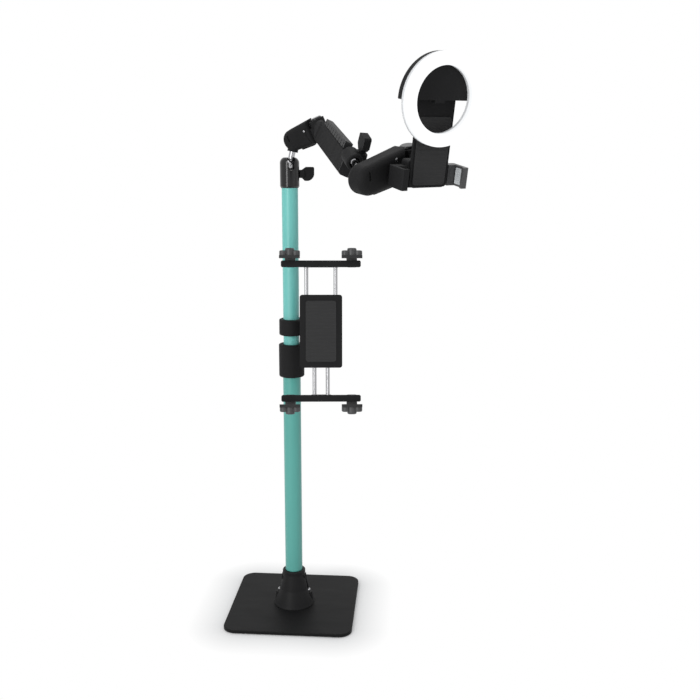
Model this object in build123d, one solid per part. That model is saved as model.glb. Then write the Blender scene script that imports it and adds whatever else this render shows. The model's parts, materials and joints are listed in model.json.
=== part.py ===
from build123d import *
import math
import os

os.makedirs("parts", exist_ok=True)

# Adjustable floor stand for a tablet and a phone. Millimetres, +Z up.
# The origin is on the pole's axis at the floor; the viewer stands on the -Y side.

# Fits and clearances
running_fit = 0.06
seat_fit = 0.05
body_gap = 0.4
ball_fit = 0.12
screw_gap = 0.5
overrun = 3.0

# Square base plate with a foam pad under it
base_side = 205.0
base_corner = 20.0
base_thickness = 5.0
base_edge = 1.2
pad_thickness = 1.2
pad_inset = 4.0
pad_corner = 17.0

# Countersunk bolt that draws the pole down on the plate
bolt_radius = 4.0
bolt_head_radius = 8.0
bolt_head_depth = 4.2
bolt_length = 34.0
plug_length = 26.0

# Moulded hub at the foot of the pole, with a screw lobe on each side
hub_radius = 33.5
hub_skirt_height = 5.0
hub_waist_radius = 23.5
hub_waist_height = 27.0
hub_neck_radius = 18.0
hub_height = 60.0
hub_lip_height = 6.5
hub_lip_step = 0.7
hub_rim = 1.6
lobe_offset = 23.0
lobe_radius = 9.5
lobe_height = 20.0
lobe_top = 2.2
hub_screw_radius = 2.5
hub_screw_head_radius = 4.2
hub_screw_head_height = 4.5
hub_screw_dome = 1.6

# Telescoping pole
lower_tube_radius = 14.0
upper_tube_radius = 12.5
tube_wall = 1.2
lower_tube_length = 424.0
upper_tube_bottom = 100.0
upper_tube_top = 690.8
glide_length = 14.0
glide_stub = 12.0

# Height collar on top of the lower tube
collar_radius = 20.0
collar_skirt = 34.0
collar_lip = 18.0
collar_edge = 2.0
collar_boss_radius = 9.5
collar_boss_reach = 27.0

# Lobed clamp knobs
knob_screw_radius = 3.0
knob_radius = 13.0
knob_lobe_radius = 3.6
knob_lobes = 6
knob_height = 12.0
knob_hub_radius = 7.0
knob_hub_height = 3.0
knob_edge = 1.5

# Ball head on top of the pole
head_radius = 14.75
head_gap = 0.4
head_dome = 9.0
head_chamfer = 1.5
head_thread_radius = 10.0
head_thread_depth = 12.0
stud_length = 10.8
stud_plug_length = 30.0
head_ball_rise = 31.8
head_ball_radius = 9.5
head_stem_radius = 4.7
ball_lip = 5.8
mouth_depth = 7.9
mouth_flare = 2.5
head_slot_width = 10.4
head_slot_drop = 6.5
head_slot_turn = 18.0
cup_step = 1.1
wing_drop = 11.5
wing_neck_radius = 6.2
wing_neck_length = 6.5
wing_length = 18.5
wing_span = 21.0
wing_thickness = 5.0
wing_corner = 2.5
wing_round = 11.0

# The stem leans from the pole, and the near link swings the arm to the front
stem_lean = 12.5
stem_reach = 41.0
stem_inset = 4.0
near_yaw = -27.1
near_rise = 16.4
near_roll = 19.8
near_reach = 47.8

# Moulded links, both of one form: a round end, flared to a shoulder with a tongue for the next fork
link_half_width = 16.0
link_flare = 4.0
link_half_thickness = 12.0
link_round = 6.5
shoulder_reach = 11.5
shoulder_hollow = 13.2
tongue_radius = 10.0
tongue_half_width = 8.0
tongue_half_height = 7.0
stem_boss_radius = 8.0
stem_boss_reach = 19.0
strip_start = 6.0
strip_end_margin = 18.0
strip_half_width = 4.5
strip_height = 2.4
slit_length = 10.0
slit_width = 3.0
slit_depth = 1.6
slit_rise = 5.5
seam_depth = 0.8
seam_width = 1.6

# Hinge pins of the links
pin_radius = 3.0
pin_head_radius = 8.5
pin_head_height = 3.0
pin_head_round = 2.2

# Long tapered beam between the two links, with a fork at its root
elbow_turn = -56.3
beam_reach = 399.0
beam_root_width = 30.0
beam_root_drop = 1.5
beam_tip_width = 24.0
beam_tip_drop = 8.5
beam_thickness = 14.0
beam_wall = 1.6
beam_round = 3.5
beam_roll = 48.0
beam_start = 28.0
beam_end_margin = 17.5
beam_plug_length = 18.0
ear_radius = 11.5
ear_half_height = 16.0
web_half_width = 6.0
web_round = 2.5

# Chevron grip rail along the edge of the beam
rack_start = 84.0
rack_end_margin = 55.0
rack_width = 8.0
rack_thickness = 9.0
rack_rail = 2.6
rack_groove = 1.8
rack_pitch = 26.0
rack_groove_width = 7.0
rack_groove_lean = 40.0

# Small ball head at the beam's free end
reach_ball_radius = 6.8
reach_stem_radius = 3.4
reach_socket_radius = 9.4
reach_socket_back = 13.5
reach_socket_front = 7.2
reach_socket_round = 2.0
reach_ball_lip = 4.2
reach_cup_length = 3.0
reach_pan = 1.3
reach_dip = 24.4
reach_stem_length = 41.6
lever_back = 6.0
lever_turn = 148.0
lever_offset = 10.6
lug_half_width = 6.6
lug_half_height = 7.0
lug_reach = 15.5
lug_slit = 1.2
lever_screw_radius = 2.5
lever_neck_radius = 3.8
lever_neck_length = 2.0
lever_length = 17.0
lever_width = 17.0
lever_thickness = 8.0
lever_end_round = 2.5
lever_screw_tip = 1.0
lever_waist = 5.0

# Far link, wrist and turntable
far_yaw = 43.38
far_rise = 15.9
far_roll = 8.28
far_reach = 63.4
wrist_turn = -11.2
wrist_offset = 40.0
wrist_web_half_height = 12.0
turntable_radius = 13.0
turntable_thickness = 3.2
turn_stud_radius = 4.0
turn_stud_length = 4.8
holder_roll = 13.17
holder_drop = 5.0

# Phone holder: the phone's back lies on y = 0 of the holder's own frame
phone_width = 71.5
phone_thickness = 7.4
holder_half_width = 25.0
holder_half_height = 14.0
holder_back = 18.0
holder_round = 3.0
rest_half_width = 23.0
rest_top = 79.0
rest_thickness = 2.5
rest_pad_thickness = 1.5
rest_pad_top = 58.0
rest_corner = 6.0
jaw_half_height = 10.8
jaw_drop = 2.6
jaw_wall = 4.0
jaw_back = 15.0
jaw_lip_depth = 3.5
jaw_lip_reach = 7.0
jaw_arm_front = 5.0
jaw_round = 1.6
jaw_pad_thickness = 1.0
jaw_pad_half_height = 8.5
jaw_gap = 2.0
jaw_rod_radius = 2.0
jaw_rod_rise = 6.5
jaw_rod_length = 44.0
jaw_rod_seat = 9.0
jaw_travel = 22.0

# Clip-on ring light
light_shift = -5.0
light_rise = 77.0
ring_radius = 46.0
ring_hole_radius = 33.0
ring_depth = 10.0
ring_round = 3.0
ring_front = 20.5
housing_radius = 45.2
housing_depth = 8.8
housing_edge = 1.3
housing_round = 1.5
tab_half_width = 5.5
tab_drop = 4.0
clip_half_width = 16.0
clip_top = 34.0
clip_bottom = 8.0
clip_thickness = 3.6
clip_pad_thickness = 2.0
clip_pad_gap = 0.3
clip_pad_half_width = 5.0
hinge_rise = 22.0
hinge_pin_radius = 1.5
hinge_ear_radius = 3.4
hinge_ear_width = 4.0
hinge_ear_offset = 8.0
spring_wire = 0.8
spring_radius = 2.6
spring_turns = 4
spring_pitch = 1.8
button_radius = 3.5
button_height = 3.0
button_proud = 1.2
button_travel = 0.8
button_offset = 30.0
button_rise = 12.0
button_fit = 0.15
inlet_width = 8.4
inlet_height = 2.8
inlet_depth = 5.0

# Clamp on the upper tube that carries the tablet holder
clamp_gap = 14.8
clamp_radius = 19.0
clamp_half_height = 12.5
clamp_edge = 2.0
clamp_boss_radius = 8.5
clamp_boss_reach = 26.0
swing_reach = 32.0
swing_barrel_radius = 9.0
swing_half_height = 8.2
arm_half_height = 6.0
arm_bar_width = 12.0
tablet_stem_radius = 5.0
tablet_ball_radius = 9.0

# Tablet holder: the tablet's back lies on y = 0 of the holder's own frame
tablet_yaw = 5.2
tablet_tilt = -9.5
tablet_height = 224.8
tablet_thickness = 7.0
tablet_ball_offset = 30.0
tablet_ball_x = 50.7
tablet_ball_y = -33.4
core_half_width = 32.0
core_half_height = 55.0
core_front = 4.0
core_back = 16.0
core_round = 4.0
core_pad_thickness = 1.2
core_pad_margin = 9.0
rod_radius = 3.0
upper_rod_offset = 22.0
lower_rod_offset = 10.0
upper_rod_bottom = -20.0
upper_rod_bore = -48.0
lower_rod_top = -25.0
bar_half_width = 60.0
bar_height = 10.0
bar_margin = 6.0
bar_round = 2.5
rod_seat = 8.0
claw_spacing = 93.0
claw_half_width = 15.5
claw_thickness = 7.5
claw_edge = 2.0
claw_web_half_width = 8.0
claw_web_depth = 7.0
claw_web_rise = 6.0
claw_side_lobe = 6.0
claw_mid_lobe = 7.0
claw_lip_overlap = 3.5
claw_pad_thickness = 1.0
claw_lip_depth = 2.8
claw_hump_height = 3.6
claw_dimple_radius = 1.6
claw_dimple_depth = 1.2
socket_radius = 13.0
socket_front_gap = 0.4
socket_lip = 4.0
nut_radius = 16.5
nut_start = 26.0
nut_end = 38.0
nut_lip = 2.6
nut_mouth_radius = 9.4
nut_flutes = 12
nut_flute_radius = 2.0
turn_bolt_radius = 5.0
turn_bolt_length = 6.6

# Levels along the pole
plate_top = pad_thickness + base_thickness
lower_tube_top = plate_top + lower_tube_length
lower_bore = lower_tube_radius - tube_wall
upper_bore = upper_tube_radius - tube_wall
hub_top = plate_top + hub_height
collar_base = lower_tube_top - collar_skirt
collar_top = lower_tube_top + collar_lip
collar_screw_height = lower_tube_top + collar_lip / 2
clamp_height = collar_top + clamp_gap + clamp_half_height
head_base = upper_tube_top + head_gap
head_ball_height = head_base + head_ball_rise
head_height = head_ball_rise + ball_lip + mouth_depth
head_slot_bottom = head_ball_height - head_slot_drop
cup_base = head_base + head_thread_depth + cup_step
wing_height = head_ball_height - wing_drop
rack_end = beam_reach - rack_end_margin


def upright(radius, low, high):
    """Round bar along Z between two levels."""
    return Pos(0, 0, low) * Cylinder(radius, high - low, align=(Align.CENTER, Align.CENTER, Align.MIN))


def along_x(radius, low, high):
    """Round bar along X."""
    return Rot(0, 90, 0) * upright(radius, low, high)


def along_y(radius, low, high):
    """Round bar along Y."""
    return Rot(-90, 0, 0) * upright(radius, low, high)


def block(x_low, x_high, y_low, y_high, z_low, z_high):
    """Box between two corners."""
    corner = Box(x_high - x_low, y_high - y_low, z_high - z_low, align=(Align.MIN, Align.MIN, Align.MIN))
    return Pos(x_low, y_low, z_low) * corner


def turned(points):
    """Solid of revolution about Z from an outline in radius and height."""
    outline = make_face(Polyline(*[(radius, 0, height) for radius, height in points], close=True))
    return revolve(outline, Axis.Z, 360)


def export(name, *solids):
    """Write one sub-part, which may hold several like solids."""
    whole = solids[0] if len(solids) == 1 else Compound(children=list(solids))
    whole.label = name
    export_step(whole, f"parts/{name}.step")


# Frames of the arm, each worked out from the one before
pole_frame = Location((0, 0, head_ball_height))
stem_frame = pole_frame * Rot(0, stem_lean, 0)
near_origin = stem_frame * Pos(0, 0, stem_reach)
near_frame = Pos(*near_origin.position) * Rot(0, 0, near_yaw) * Rot(0, -near_rise, 0) * Rot(near_roll, 0, 0)
elbow_frame = near_frame * Pos(near_reach, 0, 0)
beam_frame = elbow_frame * Rot(0, 0, elbow_turn)
section_frame = beam_frame * Rot(-beam_roll, 0, 0)
reach_ball_frame = beam_frame * Pos(beam_reach, 0, 0) * Rot(0, 0, reach_pan) * Rot(0, 90 + reach_dip, 0)
far_origin = reach_ball_frame * Pos(0, 0, reach_stem_length)
far_frame = Pos(*far_origin.position) * Rot(0, 0, far_yaw) * Rot(0, -far_rise, 0) * Rot(far_roll, 0, 0)
wrist_frame = far_frame * Pos(far_reach, 0, 0) * Rot(0, 0, wrist_turn)
turn_frame = wrist_frame * Pos(0, -wrist_offset, 0) * Rot(0, holder_roll, 0)
holder_frame = turn_frame * Pos(0, 0, -holder_drop)
jaw_frame = holder_frame * Pos(0, 0, -jaw_drop)
light_frame = holder_frame * Pos(light_shift, 0, light_rise)
tablet_ball_frame = Pos(tablet_ball_x, tablet_ball_y, clamp_height) * Rot(0, 0, tablet_yaw) * Rot(tablet_tilt, 0, 0)
tablet_frame = tablet_ball_frame * Pos(0, -tablet_ball_offset, 0)


# Base
def base_plate():
    """Steel plate with rounded corners, a countersunk middle hole and two screw holes."""
    plate = extrude(RectangleRounded(base_side, base_side, base_corner), base_thickness)
    plate = fillet(plate.edges().group_by(Axis.Z)[-1], base_edge)
    plate = Pos(0, 0, pad_thickness) * plate
    plate -= upright(bolt_radius + screw_gap, pad_thickness - overrun, plate_top + overrun)
    sink = Cone(bolt_head_radius + screw_gap, bolt_radius + screw_gap, bolt_head_depth,
                align=(Align.CENTER, Align.CENTER, Align.MIN))
    plate -= Pos(0, 0, pad_thickness) * sink
    for side in (-1, 1):
        hole = upright(hub_screw_radius + seat_fit, pad_thickness - overrun, plate_top + overrun)
        plate -= Pos(side * lobe_offset, 0, 0) * hole
    return plate


def base_pad():
    """Foam pad on the floor, glued over the bolt head."""
    side = base_side - 2 * pad_inset
    return extrude(RectangleRounded(side, side, pad_corner), pad_thickness)


def base_bolt():
    """Countersunk bolt from below into the foot plug."""
    head = Cone(bolt_head_radius, bolt_radius, bolt_head_depth, align=(Align.CENTER, Align.CENTER, Align.MIN))
    return Pos(0, 0, pad_thickness) * head + upright(bolt_radius, pad_thickness, pad_thickness + bolt_length)


def foot_plug():
    """Threaded plug pressed into the foot of the lower tube."""
    plug = upright(lower_bore - seat_fit, plate_top, plate_top + plug_length)
    plug = chamfer(plug.edges().group_by(Axis.Z)[-1], tube_wall)
    return plug - upright(bolt_radius + seat_fit, plate_top - overrun, plate_top + plug_length + overrun)


def base_hub():
    """Moulded cone round the pole's foot: skirt, waist, lip, and a lobe at each side for its screw."""
    skirt_top = plate_top + hub_skirt_height
    waist = plate_top + hub_waist_height
    lip_base = hub_top - hub_lip_height
    bore = lower_tube_radius + seat_fit
    profile = [
        (bore, plate_top),
        (hub_radius, plate_top),
        (hub_radius, plate_top + hub_rim),
        (hub_radius - hub_rim, skirt_top),
        (hub_waist_radius, waist),
        (hub_neck_radius, lip_base),
        (hub_neck_radius + hub_lip_step, lip_base),
        (hub_neck_radius + hub_lip_step, hub_top - hub_rim),
        (hub_neck_radius - hub_rim + hub_lip_step, hub_top),
        (bore, hub_top),
    ]
    hub = turned(profile)
    lobe_shape = Cone(lobe_radius, lobe_radius - lobe_top, lobe_height,
                      align=(Align.CENTER, Align.CENTER, Align.MIN))
    for side in (-1, 1):
        hub += Pos(side * lobe_offset, 0, plate_top) * lobe_shape
    hub -= upright(bore, plate_top - overrun, hub_top + overrun)
    for side in (-1, 1):
        hub -= Pos(side * lobe_offset, 0, 0) * upright(
            hub_screw_radius + seat_fit, plate_top - overrun, plate_top + lobe_height + overrun)
        hub -= Pos(side * lobe_offset, 0, 0) * upright(
            hub_screw_head_radius + screw_gap, plate_top + lobe_height, hub_top)
    return hub


def hub_screw(side):
    """Domed cap screw through a hub lobe into the plate."""
    seat = plate_top + lobe_height
    shank = upright(hub_screw_radius, pad_thickness + base_edge, seat + hub_screw_head_height / 2)
    head = upright(hub_screw_head_radius, seat, seat + hub_screw_head_height)
    head = fillet(head.edges().group_by(Axis.Z)[-1], hub_screw_dome)
    return Pos(side * lobe_offset, 0, 0) * (head + shank)


# Pole
def pipe(radius, bore, low, high):
    return upright(radius, low, high) - upright(bore, low - overrun, high + overrun)


def glide_plug():
    """Nylon plug at the foot of the upper tube that guides it in the lower tube."""
    flange = upright(lower_bore - running_fit, upper_tube_bottom - glide_length, upper_tube_bottom)
    flange = chamfer(flange.edges().group_by(Axis.Z)[0], tube_wall)
    stub = upright(upper_bore - seat_fit, upper_tube_bottom, upper_tube_bottom + glide_stub)
    hollow = upright(upper_bore - 2 * tube_wall, upper_tube_bottom - glide_length - overrun,
                     upper_tube_bottom + glide_stub + overrun)
    return flange + stub - hollow


def height_collar():
    """Collar on the lower tube's top whose lip guides the upper tube and holds the clamp screw."""
    collar = upright(collar_radius, collar_base, collar_top)
    collar = fillet(collar.edges().group_by(Axis.Z)[-1] + collar.edges().group_by(Axis.Z)[0], collar_edge)
    collar += Pos(0, 0, collar_screw_height) * along_x(collar_boss_radius, lower_tube_radius, collar_boss_reach)
    collar -= upright(lower_tube_radius + seat_fit, collar_base - overrun, lower_tube_top)
    collar -= upright(upper_tube_radius + running_fit, lower_tube_top - overrun, collar_top + overrun)
    hole = along_x(knob_screw_radius + running_fit, 0, collar_boss_reach + overrun)
    return collar - Pos(0, 0, collar_screw_height) * hole


def lobed_knob(tip, seat):
    """Clamp knob along +X: screw from tip to the head, hub and lobed head from seat outwards."""
    head_start = seat + knob_hub_height
    plan = Circle(knob_radius - knob_lobe_radius / 2)
    for index in range(knob_lobes):
        plan += Rot(0, 0, 360 * index / knob_lobes) * Pos(knob_radius - knob_lobe_radius / 2, 0) * Circle(knob_lobe_radius)
    plan = fillet(plan.vertices(), knob_edge)
    head = extrude(plan, knob_height)
    head = chamfer(head.edges().group_by(Axis.Z)[-1], knob_edge)
    knob = Rot(0, 90, 0) * Pos(0, 0, head_start) * head
    knob += along_x(knob_hub_radius, seat, head_start)
    knob += along_x(knob_screw_radius, tip, head_start)
    return knob


# Ball head on the pole
def head_stud():
    """Plug in the upper tube's top with the thick thread that the head screws on."""
    plug = upright(upper_bore - seat_fit, upper_tube_top - stud_plug_length, upper_tube_top)
    return plug + upright(head_thread_radius, upper_tube_top, upper_tube_top + stud_length)


def head_body():
    """Turned housing: thread below, spherical seat above, drop slot in front, side hole for the wing screw."""
    body = upright(head_radius, head_base, head_base + head_height)
    body = fillet(body.edges().group_by(Axis.Z)[-1], head_dome)
    body = chamfer(body.edges().group_by(Axis.Z)[0], head_chamfer)
    seat_radius = head_ball_radius + ball_fit
    body -= upright(head_thread_radius + running_fit, head_base - overrun, head_base + head_thread_depth)
    body -= upright(seat_radius, head_base, head_ball_height)
    body -= Pos(0, 0, head_ball_height) * Sphere(seat_radius)
    lip_radius = math.sqrt(seat_radius ** 2 - ball_lip ** 2)
    body -= Pos(0, 0, head_ball_height + ball_lip) * Cone(
        lip_radius, lip_radius + mouth_flare, mouth_depth + overrun, align=(Align.CENTER, Align.CENTER, Align.MIN))
    half = head_slot_width / 2
    slot = along_y(half, -head_radius - overrun, 0)
    slot += block(-half, half, -head_radius - overrun, 0, 0, head_height)
    body -= Rot(0, 0, head_slot_turn) * Pos(0, 0, head_slot_bottom + half) * slot
    hole = along_x(knob_screw_radius + running_fit, 0, head_radius + overrun)
    return body - Rot(0, 0, head_slot_turn) * Pos(0, 0, wing_height) * hole


def head_cup():
    """Nylon cup that the wing screw wedges up against the ball."""
    cup = upright(head_ball_radius + ball_fit - seat_fit, cup_base, head_ball_height - ball_lip)
    cup -= Pos(0, 0, head_ball_height) * Sphere(head_ball_radius + ball_fit)
    notch = along_x(knob_screw_radius + screw_gap, head_ball_radius / 2, head_radius)
    return cup - Rot(0, 0, head_slot_turn) * Pos(0, 0, wing_height) * notch


def wing_paddle():
    """Flat paddle in the XZ plane: square shoulder above, rounded below."""
    half = wing_span / 2
    outline = Plane.XZ * make_face(Polyline(
        (0, -wing_neck_radius, 0), (wing_length / 4, -half, 0), (wing_length, -half, 0),
        (wing_length, half, 0), (wing_length / 3, half, 0), (0, wing_neck_radius, 0), close=True))
    paddle = extrude(outline, wing_thickness / 2, both=True)
    right = paddle.edges().filter_by(Axis.Y).group_by(Axis.X)[-1].sort_by(Axis.Z)
    paddle = fillet(right[0], wing_round)
    right = paddle.edges().filter_by(Axis.Y).sort_by(Axis.Z)[-2:].sort_by(Axis.X)
    return fillet(right[-1], wing_corner)


def head_wing():
    """Wing screw in the head's side, square to the drop slot."""
    seat = head_radius + body_gap
    wing = along_x(knob_screw_radius, head_ball_radius + ball_fit + body_gap, seat + wing_neck_length)
    wing += along_x(wing_neck_radius, seat, seat + wing_neck_length)
    wing += Pos(seat + wing_neck_length - wing_corner, 0, 0) * wing_paddle()
    return Rot(0, 0, head_slot_turn) * Pos(0, 0, wing_height) * wing


def ball_stem(ball, stem, length):
    """Ball at the origin with its stem along +Z."""
    return Sphere(ball) + upright(stem, 0, length)


# Links
def link_body(reach):
    """Pebble-shaped moulding: round end at the origin, flared up to a hollow shoulder, tongue at x = reach."""
    end = reach - shoulder_reach
    flare = link_half_width + link_flare
    sides = Polyline((0, link_half_width), (end, flare), (end, -link_half_width), (0, -link_half_width), close=True)
    side = Plane.XZ * (Circle(link_half_width) + make_face(sides))
    body = extrude(side, link_half_thickness, both=True)
    loops = body.edges().group_by(Axis.Y)
    body = fillet(loops[0] + loops[-1], link_round)
    tall = 2 * ear_half_height + overrun
    body -= Pos(reach, 0, 0) * Cylinder(shoulder_hollow, tall)
    tongue = Pos(reach, 0, 0) * upright(tongue_radius, -tongue_half_height, tongue_half_height)
    tongue += block(end - shoulder_reach, reach, -tongue_half_width, tongue_half_width,
                    -tongue_half_height, tongue_half_height)
    body += tongue
    body -= Pos(reach, 0, 0) * Cylinder(pin_radius + running_fit, tall)
    return link_details(body, reach)


def link_details(body, reach):
    """Raised strip on the underside, oval slit near the round end, and the seam in front of the fork."""
    strip_end = reach - strip_end_margin
    low = -link_half_width - strip_height
    strip = block(strip_start, strip_end, -strip_half_width, strip_half_width, low, -link_half_width + strip_height)
    strip = fillet(strip.edges().filter_by(Axis.Z), strip_half_width / 2)
    strip = chamfer(strip.faces().sort_by(Axis.Z)[0].edges(), strip_height / 3)
    body += strip
    slit = SlotOverall(slit_length, slit_width, rotation=90)
    face = -link_half_thickness
    pocket = extrude(Plane.XZ * slit, slit_depth, both=True)
    body -= Pos(-slit_width, face, slit_rise) * pocket
    seam_radius = link_half_width + link_flare
    ring = along_y(seam_radius, face - overrun, face + seam_depth)
    ring -= along_y(seam_radius - seam_width, face - 2 * overrun, face + 2 * overrun)
    ring &= block(-seam_radius, 0, face - overrun, face + overrun, -link_half_width, link_half_width)
    return body - Pos(reach, 0, 0) * ring


def stem_boss(radius, bore, length):
    """Boss and bore for a ball stem, measured back along the stem from the link's round end."""
    boss = upright(radius, length - stem_boss_reach, length - stem_inset)
    hole = upright(bore, 0, length - stem_inset + body_gap)
    return boss, hole


def near_link():
    boss, hole = stem_boss(stem_boss_radius, head_stem_radius + running_fit, stem_reach)
    return near_frame * link_body(near_reach) + stem_frame * boss - stem_frame * hole


def far_link():
    boss, hole = stem_boss(stem_boss_radius, reach_stem_radius + running_fit, reach_stem_length)
    return far_frame * link_body(far_reach) + reach_ball_frame * boss - reach_ball_frame * hole


def hinge_pin():
    """Pin through a fork, with a domed head on the upper ear."""
    head = upright(pin_head_radius, ear_half_height, ear_half_height + pin_head_height)
    head = fillet(head.edges().group_by(Axis.Z)[-1], pin_head_round)
    return head + upright(pin_radius, -ear_half_height, ear_half_height)


def fork(web):
    """Fork of two ears round a pin along Z: the web that joins them is given, the tongue's space is cut."""
    body = upright(ear_radius, -ear_half_height, ear_half_height) + web
    space = tongue_half_height + body_gap
    body -= upright(shoulder_hollow, -space, space)
    return body - Cylinder(pin_radius + seat_fit, 2 * ear_half_height + overrun)


# Beam
def section_at(station, inset):
    """The beam's cross-section at a station along X, inset all round."""
    share = (station - beam_start) / (beam_reach - beam_end_margin - beam_start)
    width = beam_root_width + (beam_tip_width - beam_root_width) * share
    drop = beam_root_drop + (beam_tip_drop - beam_root_drop) * share
    face = RectangleRounded(beam_thickness - 2 * inset, width - 2 * inset, beam_round - inset / 2)
    return section_frame * Pos(station, 0, -drop) * (Plane.YZ * face)


def beam_length(inset, low, high):
    """A length of the beam's form between two stations."""
    return loft([section_at(low, inset).face(), section_at(high, inset).face()])


def beam():
    """Hollow tapered beam, open at both ends for its plugs."""
    end = beam_reach - beam_end_margin
    return beam_length(0, beam_start, end) - beam_length(beam_wall, beam_start - overrun, end + overrun)


def beam_knuckle():
    """Fork on the elbow pin, its twisted neck, and the plug in the beam."""
    neck_face = RectangleRounded(2 * web_half_width, 2 * ear_half_height - web_round, web_round)
    root = beam_frame * Pos(web_half_width, 0, 0) * (Plane.YZ * neck_face)
    neck = loft([root.face(), section_at(beam_start, 0).face()])
    ears = beam_frame.inverse() * neck
    plug = beam_length(beam_wall + seat_fit, beam_start - seat_fit, beam_start + beam_plug_length)
    return beam_frame * fork(ears) + plug


def beam_rack():
    """Grip rail on the beam's edge: a smooth outer rail and chevron grooves beside it."""
    root_edge = beam_root_width / 2 - beam_root_drop
    tip_edge = beam_tip_width / 2 - beam_tip_drop
    fall = math.degrees(math.atan2(root_edge - tip_edge, beam_reach - beam_end_margin - beam_start))
    face = -beam_thickness / 2
    rail = block(rack_start, rack_end, face, face + rack_thickness, 0, rack_width)
    rail = chamfer(rail.edges().filter_by(Axis.Y).group_by(Axis.Z)[-1], rack_groove)
    middle = (rack_width - rack_rail) / 2
    arm = rack_width
    count = int((rack_end - rack_start) / rack_pitch)
    for index in range(count):
        station = rack_start + rack_pitch * (index + 1 / 2)
        groove = Box(rack_groove_width / 2, 2 * rack_groove, arm, align=(Align.CENTER, Align.CENTER, Align.MIN))
        chevron = Rot(0, rack_groove_lean, 0) * groove + Rot(0, 180 - rack_groove_lean, 0) * groove
        chevron &= block(-arm, arm, -rack_groove, rack_groove, -arm, middle)
        rail -= Pos(station, face, middle) * chevron
    seat = Pos(beam_start, 0, root_edge + seat_fit) * Rot(0, fall, 0) * Pos(-beam_start, 0, 0)
    return section_frame * seat * rail


def socket_housing():
    """Barrel of the small ball head along Z, with the lug that its pinch screw closes."""
    body = upright(reach_socket_radius, -reach_socket_back, reach_socket_front)
    ends = body.edges().group_by(Axis.Z)
    body = fillet(ends[0] + ends[-1], reach_socket_round)
    lug = block(-lug_half_width, lug_half_width, -lug_reach, 0, -lever_back - lug_half_height,
                lug_half_height - lever_back)
    lug = fillet(lug.edges().filter_by(Axis.X), lever_end_round)
    return body + Rot(0, 0, lever_turn) * lug


def socket_hollow():
    """What the small ball head is bored out by: seat, cup space, mouth, pinch slit and screw hole."""
    seat_radius = reach_ball_radius + ball_fit
    hollow = Sphere(seat_radius)
    hollow += upright(seat_radius, -reach_ball_radius - reach_cup_length, 0)
    lip_radius = math.sqrt(seat_radius ** 2 - reach_ball_lip ** 2)
    hollow += Pos(0, 0, reach_ball_lip) * Cone(
        lip_radius, lip_radius + reach_socket_round, reach_socket_front, align=(Align.CENTER, Align.CENTER, Align.MIN))
    slit = block(-lug_slit / 2, lug_slit / 2, -lug_reach - overrun, 0, -reach_socket_back + reach_socket_round,
                 reach_socket_front + overrun)
    hollow += Rot(0, 0, lever_turn) * slit
    return hollow


lever_frame = reach_ball_frame * Pos(0, 0, -lever_back) * Rot(0, 0, lever_turn) * Pos(0, -lever_offset, 0)


def beam_head():
    """End block of the beam, its plug, and the barrel that holds the small ball."""
    end = beam_reach - beam_end_margin
    plug = beam_length(beam_wall + seat_fit, end - beam_plug_length, end)
    cap = beam_length(0, end, end + beam_round)
    barrel = reach_ball_frame * socket_housing()
    bridge = beam_frame * along_x(reach_socket_radius - reach_socket_round, end, beam_reach - reach_socket_radius)
    body = plug + cap + bridge + barrel
    body -= reach_ball_frame * socket_hollow()
    hole = along_x(lever_screw_radius + running_fit, -lug_half_width - overrun, lug_half_width + overrun)
    return body - lever_frame * hole


def reach_lever():
    """Bar-shaped wing on the pinch screw."""
    seat = lug_half_width + body_gap
    start = seat + lever_neck_length
    half = lever_width / 2
    outline = Polyline(
        (start, -lever_neck_radius, 0), (start + lever_waist, -half, 0), (start + lever_length, -half, 0),
        (start + lever_length, half, 0), (start + lever_waist, half, 0), (start, lever_neck_radius, 0), close=True)
    wing = extrude(make_face(outline), lever_thickness / 2, both=True)
    wing = fillet(wing.edges().filter_by(Axis.Z).group_by(Axis.X)[-1], lever_end_round)
    wing = Rot(90, 0, 0) * wing + along_x(lever_neck_radius, seat, start + lever_waist)
    wing += along_x(lever_screw_radius, -lug_half_width - lever_screw_tip, seat)
    return lever_frame * wing


# Wrist and phone holder
def wrist_knuckle():
    """Fork on the wrist pin, its web, and the turntable with its stud."""
    disc_back = holder_back - wrist_offset + body_gap
    web = block(-web_half_width, web_half_width, disc_back, 0, -wrist_web_half_height, wrist_web_half_height)
    web = fillet(web.edges().filter_by(Axis.Y), web_round)
    knuckle = fork(web)
    disc = along_y(turntable_radius, disc_back, disc_back + turntable_thickness)
    knuckle += chamfer(disc.edges().group_by(Axis.Y)[-1], turntable_thickness / 2)
    knuckle += along_y(turn_stud_radius, disc_back - turn_stud_length, disc_back)
    return wrist_frame * knuckle


def holder_body():
    """Back housing of the phone holder, bored for the turntable stud and the jaw's rods."""
    front = rest_pad_thickness + rest_thickness
    body = block(-holder_half_width, holder_half_width, front, holder_back, -holder_half_height, holder_half_height)
    body = fillet(body.edges().filter_by(Axis.Y), holder_round)
    body = chamfer(body.faces().sort_by(Axis.Y)[-1].edges(), holder_round / 2)
    stud_bore = along_y(turn_stud_radius + running_fit, holder_back - turn_stud_length - body_gap,
                        holder_back + overrun)
    body -= Pos(0, 0, holder_drop) * stud_bore
    rod_end = holder_half_width + jaw_gap + jaw_rod_seat - jaw_rod_length - body_gap
    for side in (-1, 1):
        bore = along_x(jaw_rod_radius + running_fit, rod_end, holder_half_width + overrun)
        body -= Pos(0, jaw_rod_depth, side * jaw_rod_rise - jaw_drop) * bore
    return holder_frame * body


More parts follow.
